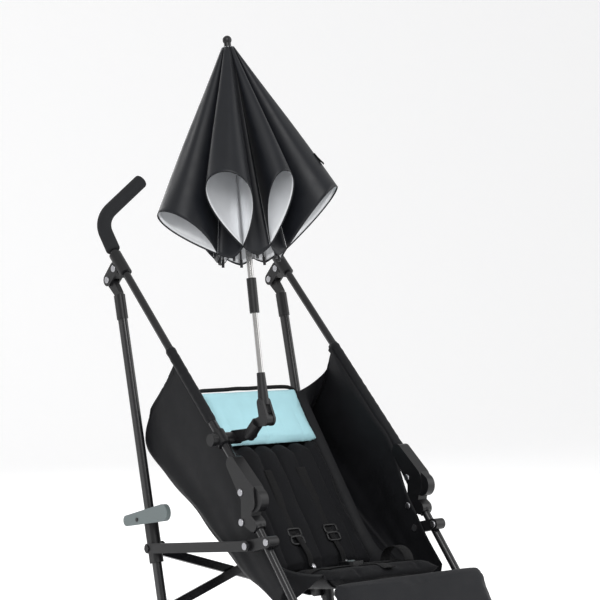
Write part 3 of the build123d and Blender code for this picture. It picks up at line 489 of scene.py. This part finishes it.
def movePoints(piece, change):
    # moves every vertex by a function of all the points and normals at once
    mesh = piece.data
    count = len(mesh.vertices)
    points, normals = np.empty(count * 3, np.float32), np.empty(count * 3, np.float32)
    mesh.vertices.foreach_get("co", points)
    mesh.vertices.foreach_get("normal", normals)
    points = change(points.reshape(-1, 3).astype(float), normals.reshape(-1, 3).astype(float))
    mesh.vertices.foreach_set("co", points.astype(np.float32).ravel())
    mesh.update()


def wrinkle(points, seed, size, amount):
    # soft cloth unevenness: a few crossed sine waves of different lengths
    mix = np.random.default_rng(seed)
    total = np.zeros(len(points))
    for _ in range(7):
        direction = mix.normal(size=3)
        direction /= np.linalg.norm(direction)
        total += np.sin(points @ direction * (2 * np.pi / (size * mix.uniform(0.6, 1.8))) + mix.uniform(0, 6.28))
    return total * amount / 7


backFacts = dict(slope=53.2, channels=6, channelDepth=0.0075, scallop=0.010, cap=0.007, voxel=0.005, pressure=4.0)
backSlab = slabFrame("backrest_pad", backFacts["slope"])
headSlab = slabFrame("head_pad", backFacts["slope"])


def inSlab(slab, points):
    # slab coordinates: across, up the pad, and out of its face
    local = points - slab["origin"]
    return local[:, 0], local @ slab["up"], local @ slab["normal"]


def faceShare(slab, normals):
    # 1 where a surface looks out of the pad's face, falling to 0 round its rim
    return np.clip(normals @ slab["normal"] * 1.5, 0, 1)


def channelShape(x, half, count):
    # 0 in a sewn seam and 1 on the crown of a channel
    phase = (x / half + 1) / 2 * count
    return np.sqrt(np.clip(np.abs(np.sin(np.pi * phase)), 0, 1))


def makeBackPad(facts, slab):
    half = slab["half"] - 0.003
    top = slab["length"] + 0.004

    def scalloped(x):
        return top + facts["scallop"] * (channelShape(x, slab["half"], facts["channels"]) - 0.4)

    piece = mergeParts("backPad", slabShell(slab, top, half, slab["thick"] - 0.005, 56, 96, 0.5, scalloped))
    tidyNormals(piece)
    inflate(piece, facts["voxel"], facts["pressure"], facts["cap"])

    def sew(points, normals):
        x, up, out = inSlab(slab, points)
        crown = channelShape(x, slab["half"], facts["channels"])
        facing = faceShare(slab, normals)
        sink = (1 - crown) * facts["channelDepth"] * facing
        sag = wrinkle(points * [1, 0.35, 0.35], 3, 0.03, 0.0035) * facing
        return points + slab["normal"] * (sag - sink)[:, None]

    movePoints(piece, sew)
    return finishPiece(piece, "backrest", finishes["seatCloth"], ["backrest_pad"])


def makeHeadPad(facts, slab):
    piece = mergeParts("headPad", slabShell(slab, slab["length"] - 0.002, slab["half"] - 0.004, slab["thick"] - 0.009,
                                           36, 60, 0.5))
    tidyNormals(piece)
    inflate(piece, facts["voxel"], facts["pressure"], 0.005)

    def fold(points, normals):
        x, up, out = inSlab(slab, points)
        facing = faceShare(slab, normals)
        low = np.clip(1 - up / (slab["length"] * 0.75), 0, 1)
        channel = (channelShape(x, slab["half"], facts["channels"]) - 0.6) * 0.004 * low
        uneven = wrinkle(points * [1, 0.5, 0.5], 11, 0.05, 0.002)
        return points + slab["normal"] * ((channel + uneven) * facing)[:, None]

    movePoints(piece, fold)
    return finishPiece(piece, "backrest", finishes["headCloth"], ["head_pad"])


makeBackPad(backFacts, backSlab)
makeHeadPad(backFacts, headSlab)
print("back and head pads made")


def makeBackPiping(back, head):
    # black binding round the sides and top of the back
    half, top = back["half"], float((head["origin"] - back["origin"]) @ back["up"]) + head["length"]
    outline = [(-half, 0.0), (-half, top * 0.5), (-half, top - 0.016), (-half + 0.014, top), (0, top + 0.001),
               (half - 0.014, top), (half, top - 0.016), (half, top * 0.5), (half, 0.0)]
    path = np.array([back["origin"] + [x, 0, 0] + back["up"] * y - back["normal"] * 0.008 for x, y in outline])
    path = smoothPath(path, 160, 4)
    path += (back["normal"] * wrinkle(path, 5, 0.06, 0.0018)[:, None])
    points, quads = sweepGrid(path, 0.0042, 12, wideAxis=back["normal"])
    piece = tidyNormals(makeMesh("backPiping", points, quads))
    return finishPiece(piece, "backrest", finishes["piping"])


makeBackPiping(backSlab, headSlab)

seatFacts = dict(slope=7.3, cap=0.008, voxel=0.006, pressure=4.0)


def makeSeatPad(facts):
    # its frame runs forwards from the rear edge
    slab = slabFrame("seat_pad", facts["slope"], -1)
    piece = mergeParts("seatPad", slabShell(slab, slab["length"], slab["half"] - 0.004, slab["thick"] - 0.008,
                                           40, 50, 0.5))
    tidyNormals(piece)
    inflate(piece, facts["voxel"], facts["pressure"], facts["cap"])

    def seam(points, normals):
        x, along, out = inSlab(slab, points)
        facing = faceShare(slab, normals)
        line = np.exp(-((np.abs(x) - slab["half"] * 0.55) / 0.005) ** 2)
        dip = np.exp(-((along - slab["length"] * 0.5) / 0.05) ** 2) * 0.003
        return points - slab["normal"] * ((line * 0.004 + dip) * facing)[:, None]

    movePoints(piece, seam)
    finishPiece(piece, "seat", finishes["seatCloth"], ["seat_pad"])
    return slab


seatSlab = makeSeatPad(seatFacts)

legFacts = dict(slope=-57.0, cap=0.007, corner=0.09, voxel=0.006, pressure=4.0, keep=0.7)


def makeLegRest(facts):
    # padded calf panel; its frame runs down from the knee edge, which is rolled over like a bolster
    slab = slabFrame("leg_rest", facts["slope"], -1)
    piece = mergeParts("legRestPad", slabShell(slab, slab["length"], slab["half"] - 0.003, slab["thick"] - 0.004,
                                              44, 70, 0.55))
    tidyNormals(piece)

    def roundCorners(points, normals):
        # narrower towards both ends by the eighth power of the distance from the middle
        share = 2 * inSlab(slab, points)[1] / slab["length"] - 1
        return points * np.column_stack([1 - facts["corner"] * share ** 8, np.ones_like(share), np.ones_like(share)])

    movePoints(piece, roundCorners)
    inflate(piece, facts["voxel"], facts["pressure"], facts["cap"])

    def pull(points, normals):
        x, along, out = inSlab(slab, points)
        facing = faceShare(slab, normals)
        roll = np.exp(-(along / 0.03) ** 2) * 0.006
        crease = wrinkle(points * [0.4, 1, 1], 21, 0.07, 0.0025)
        return points + slab["normal"] * ((roll + crease) * facing)[:, None]

    movePoints(piece, pull)
    finishPiece(piece, "leg_rest", finishes["legCloth"], ["leg_rest"])
    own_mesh(piece)
    return slab


legSlab = makeLegRest(legFacts)
print("seat and leg rest made")


# ------- the parasol's cloth
canopyFacts = dict(
    reach=(0.150, 0.140, 0.140, 0.135, 0.178, 0.150, 0.140, 0.186),     # each lobe's ridge, from the pole
    rise=(0.108, 0.108, 0.108, 0.108, 0.100, 0.153, 0.150, 0.124),      # its hem, above the rib tips
    turn=(0.0, 0.0, 0.0, 0.0, -14.0, -7.0, 0.0, 0.0),                   # degrees that its ridge is swept round
    half=(0.044, 0.042, 0.042, 0.042, 0.044, 0.044, 0.029, 0.046),      # half its width
    height=0.424, apex=0.0128, neck=0.061, cloth=0.0008, liningGap=0.0016, capDrop=0.024,
)


def poleFrame(facts):
    # the pole's own line, from the far ends of its tubes, and two directions square to it
    verts = vertsOf("parasol_pole")
    centre = verts.mean(0)
    axis = np.linalg.svd(verts - centre, full_matrices=False)[2][0]
    axis *= np.sign(axis[2])
    top = ((vertsOf("parasol_finial") - centre) @ axis).max()
    across = unit(np.array([1.0, 0, 0]) - axis * axis[0])
    return dict(apex=centre + axis * (top - facts["capDrop"]), axis=axis, across=across, side=np.cross(axis, across))


pole = poleFrame(canopyFacts)


def canopyHem(facts, perLobe):
    # round the hem each lobe is a teardrop: out from the neck by (1 - s^2)^1.5, aside by a sine that closes at
    # the neck, then on to the rib; returned as distances along the pole's two cross directions and down it
    s = np.linspace(-1, 1, perLobe, endpoint=False)[None]
    lobes = np.arange(8)[:, None]
    near = np.abs(s)
    swell = (1 - near ** 2) ** 1.5
    out = facts["neck"] + (np.array(facts["reach"])[:, None] - facts["neck"]) * swell
    aside = np.array(facts["half"])[:, None] * np.sin(np.pi * np.minimum(near / 0.88, 1))
    aside = np.sign(s) * (aside + facts["neck"] * np.tan(np.pi / 8) * np.clip((near - 0.88) / 0.12, 0, 1))
    angle = np.radians(45.0 * lobes + np.array(facts["turn"])[:, None] * swell)
    first = out * np.cos(angle) - aside * np.sin(angle)
    second = out * np.sin(angle) + aside * np.cos(angle)
    drop = facts["height"] - np.array(facts["rise"])[:, None] * swell
    return first.ravel(), second.ravel(), drop.ravel()


def canopySurface(facts, share, perLobe=48):
    # straight lines run from a small ring under the finial to the hem, with a faint slack across each lobe
    first, second, drop = canopyHem(facts, perLobe)
    t = np.asarray(share)[:, None]
    radius, angle = np.hypot(first, second), np.arctan2(second, first)
    r = facts["apex"] + (radius - facts["apex"]) * t
    r = r * (1 + 0.02 * np.sin(np.pi * np.clip(t, 0, 1)) * np.sin(angle * 16 + 1.0) * np.clip(t * 2, 0, 1))
    down = drop[None] * t
    return (pole["apex"] + pole["across"] * (r * np.cos(angle)[None])[..., None]
            + pole["side"] * (r * np.sin(angle)[None])[..., None] - pole["axis"] * down[..., None])


def clothPiece(piece, material):
    # what every sheet gets: merged doubles, outward faces, smooth shading, its finish and its slot
    tidyNormals(piece, 1e-7)
    piece.data.polygons.foreach_set("use_smooth", np.ones(len(piece.data.polygons), bool))
    piece.data.materials.append(material)
    return piece


def surfaceNormals(points, wrapCols=True):
    # the cross product of the differences along the two grid directions
    down = np.gradient(points, axis=0)
    if wrapCols:
        round_ = np.roll(points, -1, axis=1) - np.roll(points, 1, axis=1)
    else:
        round_ = np.gradient(points, axis=1)
    return unit(np.cross(down, round_))


def makeCanopyLayer(name, facts, inset, thickness, share, material):
    outer = canopySurface(facts, share)
    normals = surfaceNormals(outer)
    outward = outer - (pole["apex"] + ((outer - pole["apex"]) @ pole["axis"])[..., None] * pole["axis"])
    if (normals * outward).sum() < 0:
        normals = -normals
    deep = np.clip(np.asarray(share) * 1.3, 0.12, 1)[:, None, None]
    first = outer - normals * inset * deep
    second = outer - normals * (inset + thickness) * deep
    shell = np.concatenate([first, second[::-1]], 0)
    piece = makeMesh(name, shell, gridQuads(len(shell), shell.shape[1], wrapRows=True, wrapCols=True))
    return clothPiece(piece, material)


def makeCanopy(facts):
    share = np.linspace(0, 1, 46) ** 0.9
    outside = makeCanopyLayer("canopyCloth", facts, 0.0, facts["cloth"], share, finishes["canopyOut"])
    lining = makeCanopyLayer("canopyLining", facts, facts["liningGap"], facts["cloth"] * 0.6, share * 0.992,
                             finishes["canopyIn"])
    for piece in (outside, lining):
        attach(piece, "parasol")
    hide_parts("parasol_canopy")


makeCanopy(canopyFacts)


def makeClosureTab(facts):
    # a short webbing tab, flat against the biggest lobe and lifting a little at its free end
    angle = np.radians(315.0)
    lobeReach, drop = facts["reach"][7], facts["height"] - facts["rise"][7]
    outDir = pole["across"] * np.cos(angle) + pole["side"] * np.sin(angle)
    along = np.linspace(0.77, 0.84, 14)
    r = facts["apex"] + (lobeReach - facts["apex"]) * along + 0.0015 + 0.0035 * np.linspace(0, 1, 14) ** 2
    path = pole["apex"] + outDir * r[:, None] - pole["axis"] * (drop * along)[:, None]
    side = np.cross(pole["axis"], outDir)
    points, quads = ribbonGrid(path, side, 0.017, 0.0026)
    piece = tidyNormals(makeMesh("closureTab", points, quads))
    return finishPiece(piece, "parasol", finishes["webbing"])


makeClosureTab(canopyFacts)
print("canopy made")


# ------- side wings
wingFacts = dict(
    tubeX=0.2068, outX=0.199, padX=0.1350, thickness=0.0014, slack=dict(left=0.0042, right=0.0060), slingGap=0.003,
    slope=44.5, tubePlane=0.215, crease=((0, -0.262, 0.296), (0, -0.205, 0.352)),
    stations=(((-372, 283), (-352, 236), (-400, 297)), ((-318, 346), (-290, 262), (-335, 292)),
              ((-262, 418), (-225, 296), (-266, 300)), ((-205, 506), (-130, 364), (-212, 346)),
              ((-150, 560), (-62, 410), (-160, 414)), ((-95, 614), (15, 460), (-112, 478)),
              ((-60, 648), (80, 512), (-75, 528)), ((-38, 670), (76, 565), (-42, 572)),
              ((-24, 684), (34, 610), (-24, 597)), ((-14, 694), (-11, 657), (-8, 618))),
    rightTop={6: (66, 512), 7: (48, 562), 8: (6, 622)},      # the right wing's top is drawn tighter
)


def tubeLine(node, xWanted, slope):
    # the front tube's straight run in its side plane: its lower end's centre and the direction down it
    verts = vertsOf(node)
    down = np.array([0.0, -np.cos(np.radians(slope)), -np.sin(np.radians(slope))])
    reach = verts @ down
    end = verts[reach > reach.max() - 0.0005].mean(0)
    end[0] = xWanted
    return end, down


def throughPoints(points, count):
    # a smooth curve through points (Catmull-Rom), for every trailing column at once
    points = np.asarray(points, float)
    n = len(points)
    at = np.linspace(0, n - 1, count)
    i = np.clip(at.astype(int), 0, n - 2)
    t = (at - i).reshape((-1,) + (1,) * (points.ndim - 1))
    p0, p1 = points[np.maximum(i - 1, 0)], points[i]
    p2, p3 = points[i + 1], points[np.minimum(i + 2, n - 1)]
    return 0.5 * (2 * p1 + (p2 - p0) * t + (2 * p0 - 5 * p1 + 4 * p2 - p3) * t ** 2
                  + (3 * p1 - p0 - 3 * p2 + p3) * t ** 3)


def wingSurface(facts, side, rows=90, cols=44):
    # across the wing a parabola leaves the tube, passes through the bulge and ends at the pad's edge
    yz = np.array(facts["stations"], float) / 1000
    if side > 0:
        for row, bulge in facts["rightTop"].items():
            yz[row, 1] = np.array(bulge) / 1000
    # the hem above the frame joint runs inside the sleeve, on the tube's own line
    tube = ("left" if side < 0 else "right") + "_upper_tube"
    start, down = tubeLine(tube, side * facts["tubePlane"], facts["slope"])
    onTube = start[1:] + down[1:] * ((yz[3:, 0] - start[1:]) @ down[1:])[:, None]
    yz[3:, 0] = onTube
    lowRow = np.arange(len(yz)) < 2
    tubeX = np.where(lowRow, 0.198, facts["tubeX"])
    tops = np.column_stack([side * tubeX, yz[:, 0]])
    outs = np.column_stack([np.full(len(yz), side * facts["outX"]), yz[:, 1]])
    ends = np.column_stack([np.full(len(yz), side * facts["padX"]), yz[:, 2]])
    curves = throughPoints(np.stack([tops, outs, ends], 1), rows)
    v = np.linspace(0, 1, cols)[None, :, None]
    middle = 2 * curves[:, 1:2] - (curves[:, 0:1] + curves[:, 2:3]) / 2
    surface = curves[:, 0:1] * (1 - v) ** 2 + middle * 2 * v * (1 - v) + curves[:, 2:3] * v ** 2
    xHigh = side * facts["outX"]
    surface[..., 0] = side * np.minimum(np.abs(surface[..., 0]), abs(xHigh) + 0.004)
    return surface


def makeWing(hand, side, facts):
    surface = wingSurface(facts, side)
    normals = surfaceNormals(surface, wrapCols=False)
    rows, cols = surface.shape[:2]
    u, v = np.meshgrid(np.linspace(0, 1, rows), np.linspace(0, 1, cols), indexing="ij")
    fade = np.sin(np.pi * u) ** 0.6 * np.sin(np.pi * v) ** 0.8
    # hanging folds run down from the top corner, with small creases between
    folds = np.sin(9.0 * v + 3.5 * u) + 0.6 * np.sin(21 * v - 6 * u + 1.3) + 0.35 * np.sin(37 * v + 11 * u)
    folds = folds * facts["slack"][hand] / 1.6
    crease = wrinkle(surface.reshape(-1, 3) * [1, 0.5, 1], 31 + side, 0.08, 0.0035).reshape(rows, cols)
    surface = surface + normals * ((folds + crease) * fade)[..., None]
    normals = surfaceNormals(surface, wrapCols=False)
    half = facts["thickness"] / 2
    shell = np.concatenate([surface + normals * half, (surface - normals * half)[:, ::-1]], 1)
    count = shell.shape[1]
    quads = gridQuads(rows, count, wrapCols=True)
    strip = np.arange(cols - 1)
    ends = []
    for row in (0, rows - 1):
        base = row * count
        over = base + count - 1 - strip
        ends.append(np.stack([base + strip, base + strip + 1, over - 1, over], -1))
    piece = makeMesh(hand + "WingCloth", shell, np.vstack([quads] + ends))
    clothPiece(piece, finishes["wingCloth"])
    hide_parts(hand + "_wing")
    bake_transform(piece)
    return surface


def makeSling(facts, rows=70, cols=30):
    # the sheet that carries the pads: it joins the wings' inner edges and passes just behind the seat and back pads,
    # as the edge line times |x|^10 plus the line behind the pads times the rest
    edge = throughPoints(np.array([station[2] for station in facts["stations"]], float) / 1000, rows)
    edge = np.column_stack([np.zeros(rows), edge])
    behind = []
    for slab, node in ((seatSlab, "seat_pad"), (backSlab, "backrest_pad")):
        backFace = (vertsOf(node) @ slab["normal"]).min() - facts["slingGap"]
        behind.append(edge - slab["normal"] * (edge @ slab["normal"] - backFace)[:, None])
    rear, front = facts["crease"][1][1], facts["crease"][0][1]
    share = np.clip((edge[:, 1:2] - front) / (rear - front), 0, 1)
    middle = behind[0] * (1 - share) + behind[1] * share
    x = np.linspace(-1, 1, cols)
    out = (np.abs(x) ** 10)[None, :, None]
    surface = edge[:, None] * out + middle[:, None] * (1 - out)
    surface[..., 0] = x * facts["padX"]
    piece = makeMesh("slingCloth", surface, gridQuads(rows, cols))
    wall = piece.modifiers.new("wall", "SOLIDIFY")
    wall.thickness, wall.offset = facts["thickness"], 0
    applyModifiers(piece)
    clothPiece(piece, finishes["wingCloth"])
    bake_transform(piece)
    return piece


makeSling(wingFacts)
wingSheets = {hand: makeWing(hand, side, wingFacts) for hand, side in sides.items()}


# ------- fabric casings round the front tubes
casingFacts = dict(radius=0.0104, left=0.185, right=0.335)


def makeCasing(hand, side, facts):
    planeX = side * wingFacts["tubePlane"]
    start, axis = tubeLine(hand + "_upper_tube", planeX, wingFacts["slope"])
    wing = np.array(wingFacts["stations"][-1][0]) / 1000
    first = float((np.array([planeX, *wing]) - start) @ axis)
    n = 90
    along = np.linspace(first - 0.012, first + facts[hand], n)
    path = start + axis * along[:, None]
    ringRadius = facts["radius"] + 0.00035 * np.sin(along * 300) * np.sin(along * 57) + 0.0001 * np.sin(along * 1300)
    ringRadius[:2] -= 0.0012
    ringRadius[-2:] -= 0.0012
    points, quads = sweepGrid(path, ringRadius, 28, wideAxis=(1, 0, 0))
    grid = points.reshape(n + 2, 28, 3)
    # the sleeve closes on the wing's side: it is drawn out towards the cloth's edge
    behind = np.cross(axis, [1.0, 0, 0])
    behind *= -np.sign(behind[2])
    inward = np.array([-side, 0, 0.0])
    toward = unit(behind * 0.8 + inward * 0.6)
    offset = grid - np.concatenate([path[:1], path, path[-1:]], 0)[:, None]
    pull = np.clip((offset @ toward) / facts["radius"], 0, 1) ** 4
    grid = grid + toward * (pull * 0.006)[..., None]
    piece = tidyNormals(makeMesh(hand + "Casing", grid, quads))
    return finishPiece(piece, hand + "_frame", finishes["wingCloth"])


for hand, side in sides.items():
    makeCasing(hand, side, casingFacts)
print("wings and casings made")


# ------- harness
harnessFacts = dict(spacing=0.0435, slotUp=0.236, adjusterUp=0.076, endUp=0.004,
                    width=0.024, thin=0.013, thickness=0.0016)


def layOn(points, normal, *names, gap=0.001):
    # drops points along a direction onto pieces made before
    trees = []
    for name in names:
        mesh = bpy.data.objects[name].data
        flat = np.empty(len(mesh.vertices) * 3, np.float32)
        mesh.vertices.foreach_get("co", flat)
        trees.append(BVHTree.FromPolygons(flat.reshape(-1, 3).tolist(), [tuple(p.vertices) for p in mesh.polygons]))
    laid = []
    for point in np.asarray(points, float):
        best = None
        for tree in trees:
            hit = tree.ray_cast(Vector(point + normal * 0.12), Vector(-normal))[0]
            if hit is not None:
                height = float((np.array(hit) - point) @ normal)
                best = height if best is None else max(best, height)
        laid.append(point + normal * ((best if best is not None else 0.0) + gap))
    return np.array(laid)


def ringLoop(centre, u, v, halfU, halfV, radius, power=4.0, around=40, tubeSides=10):
    # a rounded-rectangle loop of round bar: a superellipse path with a circle carried round it
    angle = np.linspace(0, 2 * np.pi, around, endpoint=False)
    cu, sv = np.cos(angle), np.sin(angle)
    scale = (np.abs(cu) ** power + np.abs(sv) ** power) ** (-1 / power)
    path = centre + u * (halfU * cu * scale)[:, None] + v * (halfV * sv * scale)[:, None]
    tangent = unit(np.roll(path, -1, 0) - np.roll(path, 1, 0))
    out = np.cross(u, v)
    side = np.cross(tangent, out)
    ring = np.linspace(0, 2 * np.pi, tubeSides, endpoint=False)
    grid = (path[:, None] + side[:, None] * (np.cos(ring) * radius)[None, :, None]
            + out * (np.sin(ring) * radius)[None, :, None])
    return grid.reshape(-1, 3), gridQuads(around, tubeSides, wrapRows=True, wrapCols=True)


def makeHarness(facts, slab):
    bands, ladders, tips = [], [], []
    x = np.array([1.0, 0, 0])
    for way in (-1, 1):
        bend = 0.003 * way
        ups = np.linspace(facts["slotUp"], facts["adjusterUp"], 40)
        sideways = way * facts["spacing"] + bend * np.sin(ups * 20)
        path = slab["origin"] + x * sideways[:, None] + slab["up"] * ups[:, None]
        path = layOn(path, slab["normal"], "backPad", gap=0.0018)
        path[:, 1:] = smoothPath(path, 40, 10)[:, 1:]
        path[0] -= slab["normal"] * 0.012
        bands.append(ribbonGrid(path, x, facts["width"], facts["thickness"]))
        ups = np.linspace(facts["adjusterUp"] + 0.006, facts["endUp"], 24)
        drift = np.linspace(0, 0.008, 24)
        thin = slab["origin"] + x * (way * facts["spacing"] + drift)[:, None] + slab["up"] * ups[:, None]
        thin = smoothPath(layOn(thin, slab["normal"], "backPad", gap=0.006), 24, 6)
        bands.append(ribbonGrid(thin, x, facts["thin"], facts["thickness"]))
        centre = path[-1] + slab["normal"] * 0.004
        for step in (-0.009, 0.009):
            ladders.append(ringLoop(centre + slab["up"] * step, x, slab["up"], 0.0155, 0.0085, 0.0026, 5.0))
        cross = np.stack([centre - x * 0.0145, centre, centre + x * 0.0145])
        ladders.append(sweepGrid(smoothPath(cross, 8, 0), 0.003, 10))
        tip = thin[-1] + slab["normal"] * 0.001
        steps = np.array([0.008, 0.004, 0.0, -0.004])
        tips.append(sweepGrid(tip + slab["up"] * steps[:, None], np.array([0.0035, 0.0045, 0.0045, 0.003]),
                              14, 0.5, (1, 0, 0)))
    webs = tidyNormals(mergeParts("harnessWebbing", bands))
    finishPiece(webs, "backrest", finishes["webbing"], ["shoulder_straps"])
    frames = tidyNormals(mergeParts("ladderAdjusters", ladders))
    finishPiece(frames, "backrest", finishes["blackPlastic"])
    ends = tidyNormals(mergeParts("strapTips", tips))
    finishPiece(ends, "backrest", finishes["rivetSteel"])


makeHarness(harnessFacts, backSlab)

lapFacts = dict(width=0.024, thickness=0.0016, buckleAlong=0.074, halfBuckle=0.020)


def makeLapStraps(facts, slab):
    x = np.array([1.0, 0, 0])
    bands = []
    for way in (-1, 1):
        out = np.linspace(facts["halfBuckle"] - 0.004, slab["half"] - 0.002, 30)
        along = facts["buckleAlong"] - 0.016 + 0.016 * np.cos(out * 12)
        path = slab["origin"] + x * (way * out)[:, None] + slab["up"] * along[:, None]
        path = smoothPath(layOn(path, slab["normal"], "seatPad", gap=0.002), 30, 6)
        bands.append(ribbonGrid(path, slab["up"], facts["width"], facts["thickness"]))
    # the spare end stands in a loop beside the right edge of the seat
    turn = np.linspace(0, np.pi, 24)
    foot = slab["origin"] + x * (slab["half"] - 0.018) + slab["up"] * 0.060
    loop = (foot + slab["up"] * (np.cos(turn) * 0.036)[:, None]
            + slab["normal"] * (np.sin(turn) * 0.030 + 0.004)[:, None])
    bands.append(ribbonGrid(loop, x, facts["width"], facts["thickness"]))
    ahead = slab["origin"] + slab["up"] * np.linspace(0.094, slab["length"] - 0.004, 20)[:, None]
    ahead = smoothPath(layOn(ahead, slab["normal"], "seatPad", gap=0.002), 20, 4)
    bands.append(ribbonGrid(ahead, x, facts["width"], facts["thickness"]))
    piece = tidyNormals(mergeParts("lapWebbing", bands))
    return finishPiece(piece, "seat", finishes["webbing"], ["lap_straps"])


makeLapStraps(lapFacts, seatSlab)


footrestFacts = dict(width=0.046, thickness=0.0022, sag=0.010, keep=0.7)


def makeFootrestBand(facts):
    # the webbing band behind the calves: straight across with a parabola's slack
    verts = vertsOf("footrest_strap")
    low, high = verts.min(0), verts.max(0)
    centre = (low + high) / 2
    across = np.linspace(low[0], high[0], 60)
    axis = np.linalg.svd((verts - centre)[:, 1:], full_matrices=False)[2][0]
    spread = np.array([0, axis[0], axis[1]])
    out = np.array([0, axis[1], -axis[0]])
    out *= np.sign(out[2])
    slack = facts["sag"] * (1 - ((across - centre[0]) / (high[0] - centre[0])) ** 2)
    path = np.column_stack([across, np.full(60, centre[1]), np.full(60, centre[2])]) - out * slack[:, None]
    points, quads = ribbonGrid(path, spread, facts["width"], facts["thickness"])
    piece = tidyNormals(makeMesh("footrestBand", points, quads))
    finishPiece(piece, "seat", finishes["webbing"], ["footrest_strap"])
    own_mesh(piece)
    return piece


makeFootrestBand(footrestFacts)
print("harness and webbing made")
